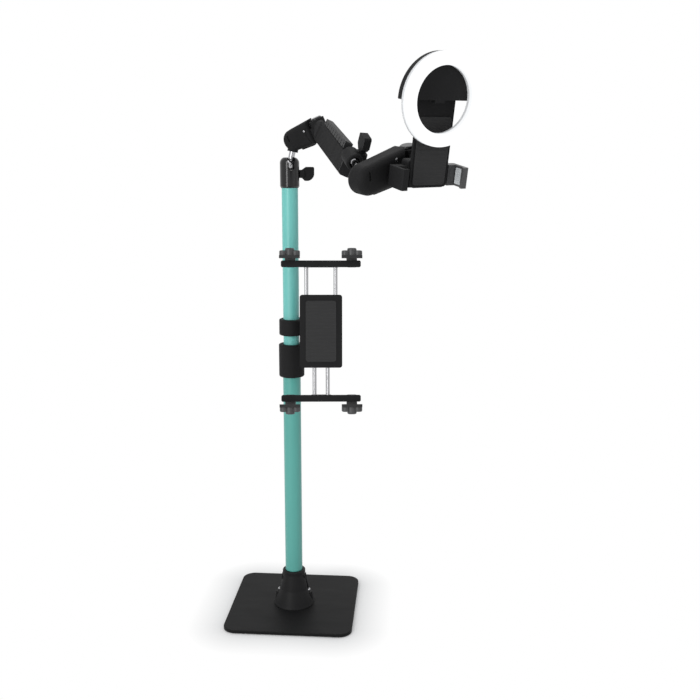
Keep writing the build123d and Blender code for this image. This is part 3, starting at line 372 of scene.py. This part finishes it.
def metal(name, colour, rough, streak_scale, stretch):
    """Bare metal: fine streaks along the turning or drawing lines, and faint dull spots."""
    finish = Finish(name)
    streaks = finish.noise(finish.place(stretch=stretch), streak_scale)
    dull = finish.noise(finish.place(), scale=70.0, detail=4.0)
    low, high = shades(colour, 0.86, 1.05)
    finish.set(Base_Color=finish.blend(streaks, low, high), Metallic=1.0)
    finish.set(Roughness=(streaks * 0.06 + dull * 0.06 + rough - 0.06).clamp())
    finish.relief(streaks, depth=0.00002, strength=0.3)
    return finish.material


def rubbery(name, colour, cell):
    """Rubber or foam: matt, with fine cells and a chalky bloom."""
    finish = Finish(name)
    cells = finish.cells(finish.place(), scale=cell, feature="F1")
    bloom = finish.noise(finish.place(), scale=90.0, detail=4.0)
    low, high = shades(colour, 0.8, 1.4)
    finish.set(Base_Color=finish.blend(bloom, low, high), Roughness=(bloom * 0.15 + 0.72).clamp())
    finish.relief(cells, depth=0.0001, strength=0.5)
    return finish.material


def glowing(name, strength, centre, axis, middle, half, depth):
    """Lit diffuser: white, a little dimmer between the lamps behind it and on its inner and outer walls. Its
    back is plain white plastic, because the lamps shine forward. The band's middle radius, its half width
    and its half depth are given."""
    wall_start, wall_gain = 0.92, 12.0
    front_gain, front_level = 3.0, 1.6
    finish = Finish(name)
    where = finish.place()
    lamps = finish.cells(where, scale=90.0, feature="SMOOTH_F1")
    frost = finish.noise(where, scale=1500.0, detail=2.0)
    out = finish.vector("SUBTRACT", where, tuple(centre))
    radius = finish.vector("LENGTH", finish.vector("CROSS_PRODUCT", out, tuple(axis)), output="Value")
    wall = ((radius - middle).math("ABSOLUTE") / half - wall_start) * wall_gain
    front = finish.blend((lamps * 0.8).clamp(), (1.0, 1.0, 1.0), (0.955, 0.965, 0.975))
    ahead = finish.vector("DOT_PRODUCT", out, tuple(axis), output="Value")
    lit = (ahead / depth * front_gain + front_level).clamp()
    finish.set(Base_Color=finish.blend(lit, (0.66, 0.67, 0.68), (0.12, 0.12, 0.12)))
    finish.set(Roughness=(frost * 0.1 + 0.4).clamp(), Specular_IOR_Level=0.3)
    shine = finish.blend(wall.clamp(), front, (0.86, 0.875, 0.89))
    finish.set(Emission_Color=finish.blend(lit, (0.0, 0.0, 0.0), shine), Emission_Strength=strength)
    return finish.material


def pale_floor(name, studio):
    """Floor that takes the stand's shadow near the plate. Away from it, rays that come straight from the
    camera, or by way of a mirror or a glass, find it plain white."""
    corner, curve = 0.03, 0.7
    finish = Finish(name)
    grain = finish.noise(finish.place(), scale=30.0)
    finish.set(Base_Color=finish.blend(grain, (0.9, 0.9, 0.9), (0.93, 0.93, 0.93)), Roughness=0.9)
    white = finish.node("ShaderNodeEmission", {}, {"Color": (1.0, 1.0, 1.0), "Strength": 1.0})
    spot = finish.node("ShaderNodeTexCoord", {}, [], "Object")
    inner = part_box("base_plate")[1].x - corner
    past = []
    for axis in "XY":
        along = finish.node("ShaderNodeSeparateXYZ", {}, [spot], axis)
        past.append((along.math("ABSOLUTE") - inner).math("MAXIMUM", 0.0))
    away = (past[0] * past[0] + past[1] * past[1]) ** 0.5 - corner
    fade = (away / studio.shadow_reach).clamp() ** curve
    share = finish.background_rays() * (fade * studio.shadow + (1.0 - studio.shadow))
    shaded = Signal(finish, finish.shader.outputs[0])
    mix = finish.node("ShaderNodeMixShader", {}, [share, shaded, white])
    finish.feed(finish.output.inputs["Surface"], mix)
    return finish.material


# Surfaces


def new_piece(name, surface, body, material):
    """Put a closed surface into a mesh that rides on a body, with its faces turned outward."""
    points, quads, caps = surface
    mesh = bpy.data.meshes.new(name)
    mesh.from_pydata(points.tolist(), [], quads.tolist() + [cap.tolist() for cap in caps])
    shell = bmesh.new()
    shell.from_mesh(mesh)
    bmesh.ops.recalc_face_normals(shell, faces=shell.faces)
    shell.to_mesh(mesh)
    shell.free()
    mesh.shade_smooth()
    mesh.set_sharp_from_angle(angle=sharp_angle)
    piece = bpy.data.objects.new(name, mesh)
    bpy.context.scene.collection.objects.link(piece)
    mesh.materials.append(material)
    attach(piece, body)
    return piece


def grid_faces(rows, columns, close_rows=False, close_columns=False):
    """Quads of a grid of points, row by row; either direction may close on itself."""
    row = np.arange(rows if close_rows else rows - 1)
    column = np.arange(columns if close_columns else columns - 1)
    r, c = np.meshgrid(row, column, indexing="ij")
    r2, c2 = (r + 1) % rows, (c + 1) % columns
    quads = np.stack([r * columns + c, r * columns + c2, r2 * columns + c2, r2 * columns + c], axis=-1)
    return quads.reshape(-1, 4)


def skin(points):
    """Surface from a grid of rings, points[ring, around, xyz], with a flat cap on the first and last."""
    rings, around = points.shape[:2]
    ring = np.arange(around)
    caps = [ring, ring + (rings - 1) * around]
    return points.reshape(-1, 3), grid_faces(rings, around, False, True), caps


def axes_of(direction):
    """Two unit vectors square to a direction, and the direction, so that first x second = direction."""
    direction = direction / np.linalg.norm(direction)
    helper = up_axis if abs(direction[2]) < 0.9 else x_axis
    first = np.cross(helper, direction)
    first /= np.linalg.norm(first)
    return first, np.cross(direction, first), direction


def ring_surface(centre, direction, radius, tube, turns=72, around=18):
    """Torus: centre + (radius + tube cos v)(first cos u + second sin u) + tube sin v along the direction."""
    first, second, axis = axes_of(direction)
    u = np.linspace(0, 2 * np.pi, turns, endpoint=False)[:, None, None]
    v = np.linspace(0, 2 * np.pi, around, endpoint=False)[None, :, None]
    radial = first * np.cos(u) + second * np.sin(u)
    points = centre + (radius + tube * np.cos(v)) * radial + tube * np.sin(v) * axis
    return points.reshape(-1, 3), grid_faces(turns, around, True, True), []


def turned_surface(centre, direction, profile, turns=64):
    """Lathe form: each pair (radius, height) of the profile sweeps a ring round the direction through the
    centre."""
    first, second, axis = axes_of(direction)
    outline = np.array(profile, float)
    u = np.linspace(0, 2 * np.pi, turns, endpoint=False)[None, :, None]
    radial = first * np.cos(u) + second * np.sin(u)
    return skin(centre + outline[:, None, :1] * radial + outline[:, None, 1:] * axis)


def ribbon_tube(path, thickness, around=10):
    """Tube along a path: each ring is size (side cos v + up sin v), and size falls to almost nothing at both
    ends as thickness times the root of 1 - (2s - 1)^4, where s runs from 0 to 1 along the path."""
    run = np.gradient(path, axis=0)
    run /= np.linalg.norm(run, axis=1, keepdims=True)
    side = np.cross(run, up_axis)
    side /= np.linalg.norm(side, axis=1, keepdims=True)
    up = np.cross(side, run)
    share = np.linspace(0, 1, len(path))
    size = thickness * np.sqrt(np.clip(1 - (2 * share - 1) ** 4, 1e-4, 1))[:, None, None]
    v = np.linspace(0, 2 * np.pi, around, endpoint=False)[None, :, None]
    return skin(path[:, None, :] + size * (side[:, None, :] * np.cos(v) + up[:, None, :] * np.sin(v)))


def rounded(turn, flatness):
    """sgn(turn) |turn|^flatness, which draws a circle's sine or cosine out towards a square."""
    return np.sign(turn) * np.abs(turn) ** flatness


def oval_stack(centre, across, up, out, half_width, half_height, steps):
    """Rings of one rounded slot: x = w sgn(cos u)|cos u|^0.55, z = h sgn(sin u)|sin u|^0.75, each scaled by
    a step's size and set out by its depth."""
    u = np.linspace(0, 2 * np.pi, 48, endpoint=False)
    x = half_width * rounded(np.cos(u), 0.55)
    z = half_height * rounded(np.sin(u), 0.75)
    rim = x[:, None] * across + z[:, None] * up
    steps = np.array(steps, float)
    return skin(centre + steps[:, None, 1:] * rim[None] + steps[:, None, :1] * out)


def pad_surface(low, high, axes, corner, ribs=0, groove=0.0, margin=0.0015):
    """Rounded sheet that fills a box along three axes. Rows run along the third axis. A row's half width is
    w - c + root(c^2 - p^2), where p is how far the row is into the corner radius c. Each row is a
    superellipse of power 10 in width and depth, its depth falls at both ends, and its front is drawn in by
    the groove depth times (1 - cos) / 2 of the rib count, fading out at the margin."""
    end_rows, least_rows, rows_per_rib, around = 14, 24, 10, 96
    power, end_fall = 2 / 10, 0.75
    half, middle = (high - low) / 2, (high + low) / 2
    ends = 1 - corner / half[2] * (1 - np.sin(np.linspace(0, np.pi / 2, end_rows)))
    even = np.linspace(-1, 1, max(least_rows, ribs * rows_per_rib))
    t = np.unique(np.round(np.concatenate([even, ends, -ends]), 6))
    along = half[2] * t
    past = np.clip(np.abs(along) - (half[2] - corner), 0, corner)
    width = half[0] - corner + np.sqrt(corner ** 2 - past ** 2)
    edge = min(2 * half[1], corner)
    thin = np.sqrt(1 - end_fall * (np.clip(np.abs(along) - (half[2] - edge), 0, edge) / edge) ** 2)
    turn = np.linspace(0, 2 * np.pi, around, endpoint=False)
    x = width[:, None] * rounded(np.cos(turn), power)
    deep = rounded(np.sin(turn), power)
    inside_row = np.clip((width[:, None] - np.abs(x)) / margin, 0, 1)
    inside_end = np.clip((half[2] - np.abs(along)) / margin, 0, 1)[:, None]
    wave = (0.5 - 0.5 * np.cos(np.pi * ribs * (t + 1)))[:, None]
    y = thin[:, None] * deep * half[1] - np.clip(deep, 0, 1) * groove * wave * inside_row * inside_end
    z = np.broadcast_to(along[:, None], x.shape)
    return skin((middle + np.stack([x, y, z], axis=-1)) @ axes)


def local_span(node, axes):
    """Lowest and highest place of a CAD node along three axes."""
    mesh = frame["nodes"][node].data
    flat = np.empty(len(mesh.vertices) * 3)
    mesh.vertices.foreach_get("co", flat)
    places = flat.reshape(-1, 3) @ axes.T
    return places.min(axis=0), places.max(axis=0)


def joined(surfaces):
    """Several surfaces as one."""
    starts = np.cumsum([0] + [len(surface[0]) for surface in surfaces[:-1]])
    points = np.concatenate([surface[0] for surface in surfaces])
    quads = np.concatenate([surface[1] + start for surface, start in zip(surfaces, starts)])
    caps = [cap + start for surface, start in zip(surfaces, starts) for cap in surface[2]]
    return points, quads, caps


# Operators


class STAND_OT_finishes(bpy.types.Operator):
    """Give every CAD part its finish"""

    bl_idname = "stand.finishes"
    bl_label = "Finishes"

    def execute(self, context):
        colours = context.scene.stand_finishes
        moulding = tuple(colours.moulding)
        bare = (0.4, 0.4, 0.41)
        made = {
            "black_moulding": moulded("Moulded black", moulding),
            "black_powder_coat": powder_coated("Black powder coat", tuple(colours.powder)),
            "dark_grey_plastic": moulded("Dark grey plastic", tuple(colours.grey), rough=0.32, shine=0.35),
            "gloss_black": polished_black("Gloss black"),
            "chrome": metal("Polished chrome", bare, rough=0.14, streak_scale=300.0, stretch=(1, 1, 8)),
            "steel": metal("Brushed steel", bare, rough=0.32, streak_scale=900.0, stretch=(1, 1, 0.05)),
            "nylon": moulded("Natural nylon", (0.42, 0.42, 0.4), rough=0.45),
            "foam_pad": rubbery("Foam pad", (0.018, 0.018, 0.018), cell=1400.0),
            "black_rubber": rubbery("Black rubber", (0.014, 0.014, 0.0145), cell=2400.0),
            "pale_pad": rubbery("Pale pad", (0.46, 0.48, 0.49), cell=2400.0),
            "light_diffuser": self.diffuser(colours),
        }
        special = {
            "upper_tube": enamelled("Upper tube enamel", tuple(colours.upper_teal)),
            "lower_tube": enamelled("Lower tube enamel", tuple(colours.lower_teal)),
            "beam_rack": moulded("Ribbed grip", moulding, rough=0.5, grain=1.6),
            "base_hub": moulded("Hub moulding", moulding, rough=0.44, grain=0.5),
            "beam": moulded("Beam moulding", moulding, rough=0.74, grain=1.2, shine=0.05),
        }
        for part in frame["record"]["subparts"]:
            node = frame["nodes"][part["node"]]
            material = special.get(part["node"]) or made[part["material_slot"]]
            if not node.data.materials:
                raise RuntimeError(f"{part['node']} has no material slot")
            for index in range(len(node.data.materials)):
                node.data.materials[index] = material
        return {"FINISHED"}

    def diffuser(self, colours):
        """The ring's material, with its band measured on the CAD ring."""
        ring_axis = -joint_axis("phone_turn")
        first, second, _ = axes_of(ring_axis)
        axes = np.array([first, second, ring_axis])
        low, high = local_span("light_ring", axes)
        outer = float(high[0] - low[0]) / 2
        deep = float(high[2] - low[2]) / 2
        band = outer * colours.band_share / 2
        centre = (low + high) / 2 @ axes
        return glowing("Lit diffuser", colours.glow, centre, ring_axis, outer - band, band, deep)


class STAND_OT_hub_trim(bpy.types.Operator):
    """Slanting ribs on the hub's lip, and dark discs in its screws painted as the shade of their drive recesses"""

    bl_idname = "stand.hub_trim"
    bl_label = "Hub trim"

    def execute(self, context):
        trim = context.scene.stand_trim
        ribs = self.ribs(trim.rib_count, trim.rib_thickness)
        new_piece("hub_ribs", joined(ribs), "base", bpy.data.materials["Hub moulding"])
        # Dark discs in the screw heads: painted shade of their drive recesses
        recess_shades = self.recess_shades(trim.recess_shade_radius)
        gloss = bpy.data.materials["Gloss black"]
        new_piece("screw_recess_shades", joined(recess_shades), "base", gloss)
        return {"FINISHED"}

    def ribs(self, count, thickness):
        """Ribs that run down the flare of the hub, on its right and on its left."""
        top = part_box("base_hub")[1].z
        neck, spread = 0.0179, 0.167
        first_drop, run_down = 0.0078, 0.0085
        first_turn, rib_pitch, rib_turn = 0.5, 0.32, 0.34
        share = np.linspace(0, 1, 24)
        drop = first_drop + run_down * share
        radius = neck + spread * drop
        ribs = []
        for side in (0.0, np.pi):
            for index in range(count):
                angle = side - first_turn + rib_pitch * index + rib_turn * share
                path = np.stack([radius * np.cos(angle), radius * np.sin(angle), top - drop], axis=1)
                ribs.append(ribbon_tube(path, thickness))
        return ribs

    def recess_shades(self, r):
        """A shallow gloss-black dish with a raised rim in the head of each of the two screws: painted shade
        that stands for its drive recess.
        """
        head_radius, sunk, foot, centre_hole = 0.0042, 0.00012, -0.0004, 0.02
        profile = [(r * centre_hole, foot), (r * 1.25, foot), (r * 1.25, 0.0), (r * 1.1, 0.00028),
                   (r, 0.00022), (r * 0.55, 0.00014), (r * centre_hole, 0.0001)]
        low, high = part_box("hub_screws")
        reach = (high.x - low.x) / 2 - head_radius
        return [turned_surface(np.array([side * reach, 0.0, high.z - sunk]), up_axis, profile, 32)
                for side in (-1, 1)]


class STAND_OT_seals(bpy.types.Operator):
    """Seal under the ball head, and on each ball's neck a dark ring that is painted shade of the neck's groove"""

    bl_idname = "stand.seals"
    bl_label = "Seals"

    def execute(self, context):
        trim = context.scene.stand_trim
        rubber = bpy.data.materials["Black rubber"]
        seal_radius = 0.0131
        under = np.array([0.0, 0.0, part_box("head_body")[0].z])
        seal = ring_surface(under, up_axis, seal_radius, trim.seal_thickness / 2)
        new_piece("head_seal", seal, "head", rubber)
        # Thin black rings on the balls' necks: painted shade in the groove where each ball meets its stem
        neck_shades = (
            ("ball_neck_shade", "ball", "arm_spin", 0.0102, 0.0047),
            ("reach_neck_shade", "reach_ball", "reach_spin", 0.0078, 0.0034),
        )
        for name, body, joint, height, radius in neck_shades:
            stem = joint_axis(joint)
            centre = joint_place(joint) + stem * height
            neck = ring_surface(centre, stem, radius, trim.neck_shade_ring, turns=48, around=12)
            new_piece(name, neck, body, rubber)
        return {"FINISHED"}


class STAND_OT_link_screws(bpy.types.Operator):
    """Small bright button-head screw at the shoulder of each moulded link"""

    bl_idname = "stand.link_screws"
    bl_label = "Link screws"

    def execute(self, context):
        r = context.scene.stand_trim.screw_radius
        foot, crown, centre_hole = -0.0006, 0.0004, 0.02
        profile = [(r * centre_hole, foot), (r, foot), (r, 0.0), (r * 0.93, 0.00018), (r * 0.7, 0.00034),
                   (r * 0.48, crown), (r * 0.42, 0.00036), (r * 0.4, 0.00005), (r * centre_hole, 0.00002)]
        # Place from the link's pivot, and facing: along the link, square to it, and up the pivot
        near_place, near_facing = (-0.0229, -0.00685, 0.0073), (-0.229, -0.973, 0.0)
        far_place, far_facing = (-0.0141, -0.0264, 0.0123), (0.62, -0.78, 0.05)
        screws = (
            ("near_link_screw", "near_arm", "elbow", "arm_spin", near_place, near_facing),
            ("far_link_screw", "far_arm", "wrist", "reach_spin", far_place, far_facing),
        )
        for name, body, pivot, start, place, facing in screws:
            axes = self.link_axes(pivot, start)
            centre = joint_place(pivot) + np.array(place) @ axes
            screw = turned_surface(centre, np.array(facing) @ axes, profile, 36)
            new_piece(name, screw, body, bpy.data.materials["Polished chrome"])
        return {"FINISHED"}

    def link_axes(self, pivot, start):
        """Along a link from its start to its pivot, square to that, and up the pivot."""
        up = joint_axis(pivot)
        run = joint_place(pivot) - joint_place(start)
        run -= np.dot(run, up) * up
        run /= np.linalg.norm(run)
        return np.array([run, np.cross(up, run), up])


class STAND_OT_knob_caps(bpy.types.Operator):
    """Domed caps in the middle of the clamp knobs"""

    bl_idname = "stand.knob_caps"
    bl_label = "Knob caps"

    def execute(self, context):
        r = context.scene.stand_trim.cap_radius
        crown, rim, foot, sunk = 0.0004, -0.0002, -0.0006, 0.0005
        lip, centre_hole = r * 1.02, r * 0.01
        sweep = np.linspace(0, np.pi / 2, 9)
        dome = np.stack([r * np.cos(sweep), crown * np.sin(sweep)], axis=1)
        profile = np.vstack([[[centre_hole, foot], [lip, foot], [lip, rim]], dome])
        profile[-1, 0] = centre_hole
        for knob in ("collar_knob", "clamp_knob"):
            axis, place = joint_axis(f"{knob}_turn"), joint_place(f"{knob}_turn")
            far = float(np.dot(np.array(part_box(knob)[1]), axis))
            centre = place + axis * (far - float(np.dot(place, axis)) - sunk)
            cap = turned_surface(centre, axis, profile)
            new_piece(f"{knob}_cap", cap, knob, bpy.data.materials["Gloss black"])
        return {"FINISHED"}


class STAND_OT_inlet(bpy.types.Operator):
    """Metal shell and tongue of the light's charging inlet"""

    bl_idname = "stand.inlet"
    bl_label = "Charging inlet"

    def execute(self, context):
        out = -joint_axis("button_press")
        across = joint_axis("clip_squeeze")
        up = np.cross(across, out)
        # Place of the inlet's mouth from the clip's pin, half sizes of the slot, and depth
        below, beside, behind = 0.010, 0.030, 0.004
        half_width, shell_height, tongue_height = 0.0039, 0.0012, 0.0006
        deep = -0.0046
        mouth = joint_place("clip_squeeze") - up * below - across * beside - out * behind
        shell = [(deep, 0.86), (0.0, 0.86), (0.00014, 0.98), (0.00002, 1.03), (-0.0004, 1.03), (deep, 1.0)]
        tongue = [(deep, 0.6), (-0.0012, 0.6), (-0.0009, 0.52)]
        shell = oval_stack(mouth, across, up, out, half_width, shell_height, shell)
        new_piece("inlet_shell", shell, "light", bpy.data.materials["Brushed steel"])
        tongue = oval_stack(mouth, across, up, out, half_width, tongue_height, tongue)
        new_piece("inlet_tongue", tongue, "light", bpy.data.materials["Black rubber"])
        return {"FINISHED"}


class STAND_OT_pads(bpy.types.Operator):
    """Moulded pads with ribs in place of the plain ones, and the foam sheet under the plate"""

    bl_idname = "stand.pads"
    bl_label = "Pads"

    def execute(self, context):
        share = context.scene.stand_trim.groove_share
        slide, out, up = joint_axis("jaw_slide"), -joint_axis("phone_turn"), joint_axis("light_lift")
        tablet_up, tablet_out = joint_axis("tablet_stretch"), -joint_axis("tablet_turn")
        # Across the pad, out of its front, and along it
        holder = np.array([slide, out, up])
        left = np.array([out, slide, up])
        right = np.array([out, -slide, up])
        tablet = np.array([np.cross(tablet_up, tablet_out), tablet_out, tablet_up])
        flat = np.array([[1.0, 0.0, 0.0], [0.0, 0.0, -1.0], [0.0, 1.0, 0.0]])
        rubber = ("Black rubber", "black_rubber")
        pale = ("Pale pad", "pale_pad")
        foam = ("Foam pad", "foam_pad")
        # New piece, the node it replaces, body, axes, corner radius, number of ribs, material and slot
        pads = (
            ("tablet_grip", "tablet_core_pad", "tablet_holder", tablet, 0.004, 18, rubber),
            ("rest_grip", "back_rest_pad", "phone_holder", holder, 0.003, 14, rubber),
            ("left_jaw_grip", "left_jaw_pad", "phone_holder", left, 0.0012, 9, pale),
            ("right_jaw_grip", "right_jaw_pad", "jaw", right, 0.0012, 9, pale),
            ("front_grip", "front_pad", "light", holder, 0.0012, 5, rubber),
            ("foam_sheet", "base_pad", "base", flat, 0.017, 0, foam),
        )
        for name, node, body, axes, corner, ribs, (material, slot) in pads:
            low, high = local_span(node, axes)
            groove = share * (high[1] - low[1]) if ribs else 0.0
            surface = pad_surface(low, high, axes, corner, ribs, groove)
            piece = new_piece(name, surface, body, bpy.data.materials[material])
            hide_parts(node)
        return {"FINISHED"}


class STAND_OT_stage(bpy.types.Operator):
    """Pale floor, soft studio light and the camera"""

    bl_idname = "stand.stage"
    bl_label = "Studio"

    def execute(self, context):
        studio = context.scene.stand_studio
        self.floor(context, studio)
        self.world(context, studio)
        self.lamp(context, "Key", place=(-1.15, -2.4, 1.2), size=(0.6, 2.2), power=studio.key)
        self.lamp(context, "Fill", place=(2.2, -1.2, 1.0), size=(0.2, 2.0), power=studio.fill)
        self.lamp(context, "Top", place=(0.1, 0.3, 2.6), size=(1.8, 1.8), power=studio.top)
        self.camera(context)
        context.scene.view_settings.view_transform = "Standard"
        return {"FINISHED"}

    def floor(self, context, studio):
        """Large flat floor, which belongs to the studio and not to the stand."""
        half = 14.0
        mesh = bpy.data.meshes.new("floor")
        corners = [(-half, -half, 0), (half, -half, 0), (half, half, 0), (-half, half, 0)]
        mesh.from_pydata(corners, [], [(0, 1, 2, 3)])
        floor = bpy.data.objects.new("floor", mesh)
        context.scene.collection.objects.link(floor)
        mesh.materials.append(pale_floor("Pale floor", studio))

    def world(self, context, studio):
        """Even light from all round, and plain white behind the stand and in its reflections."""
        world = bpy.data.worlds.new("Studio")
        context.scene.world = world
        world.use_nodes = True
        sky = Shading(world.node_tree)
        light = {"Color": (0.97, 0.98, 1.0), "Strength": studio.ambient}
        even = sky.node("ShaderNodeBackground", {}, light)
        white = sky.node("ShaderNodeBackground", {}, {"Color": (1.0, 1.0, 1.0), "Strength": 1.0})
        mix = sky.node("ShaderNodeMixShader", {}, [sky.background_rays(), even, white])
        output = sky.tree.nodes.new("ShaderNodeOutputWorld")
        sky.feed(output.inputs["Surface"], mix)

    def lamp(self, context, name, place, size, power):
        """Rectangular lamp that faces the middle of the stand."""
        data = bpy.data.lights.new(name, "AREA")
        data.shape = "RECTANGLE"
        data.size, data.size_y = size
        data.energy = power
        lamp = bpy.data.objects.new(name, data)
        context.scene.collection.objects.link(lamp)
        turn = (lamp_target - Vector(place)).to_track_quat("-Z", "Y").to_matrix().to_4x4()
        lamp.matrix_world = Matrix.Translation(place) @ turn

    def camera(self, context):
        """The camera that took the photograph."""
        data = bpy.data.cameras.new("Camera")
        data.sensor_width = sensor_width
        data.lens = sensor_width * focal_length / photo_side
        data.clip_end = 60.0
        camera = bpy.data.objects.new("Camera", data)
        context.scene.collection.objects.link(camera)
        forward = Vector(camera_forward).normalized()
        level = Vector(camera_level)
        up = level.cross(forward).normalized()
        right = (level + camera_roll * up).normalized()
        up = right.cross(forward).normalized()
        turn = Matrix((right, up, -forward)).transposed().to_4x4()
        camera.matrix_world = Matrix.Translation(camera_place) @ turn
        context.scene.camera = camera


OPERATORS = (STAND_OT_finishes, STAND_OT_hub_trim, STAND_OT_seals, STAND_OT_link_screws, STAND_OT_knob_caps,
             STAND_OT_inlet, STAND_OT_pads, STAND_OT_stage)
GROUPS = (("stand_trim", StandTrim), ("stand_finishes", StandFinishes), ("stand_studio", StandStudio))


class STAND_PT_sidebar(bpy.types.Panel):
    """The stand's operators and settings"""

    bl_label = "Floor stand"
    bl_space_type = "VIEW_3D"
    bl_region_type = "UI"
    bl_category = "Stand"

    def draw(self, context):
        for name, group in GROUPS:
            box = self.layout.box()
            for key in group.__annotations__:
                box.prop(getattr(context.scene, name), key)
        for operator in OPERATORS:
            self.layout.operator(operator.bl_idname)


def register():
    """Register the settings, the operators and the panel."""
    for name, group in GROUPS:
        bpy.utils.register_class(group)
        setattr(bpy.types.Scene, name, bpy.props.PointerProperty(type=group))
    for cls in (*OPERATORS, STAND_PT_sidebar):
        bpy.utils.register_class(cls)


def unregister():
    """Take away what register adds."""
    for cls in (STAND_PT_sidebar, *reversed(OPERATORS)):
        bpy.utils.unregister_class(cls)
    for name, group in reversed(GROUPS):
        delattr(bpy.types.Scene, name)
        bpy.utils.unregister_class(group)


def main():
    """Register the classes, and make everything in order."""
    register()
    for operator in OPERATORS:
        group, name = operator.bl_idname.split(".")
        getattr(getattr(bpy.ops, group), name)()


if __name__ == "__main__":
    main()
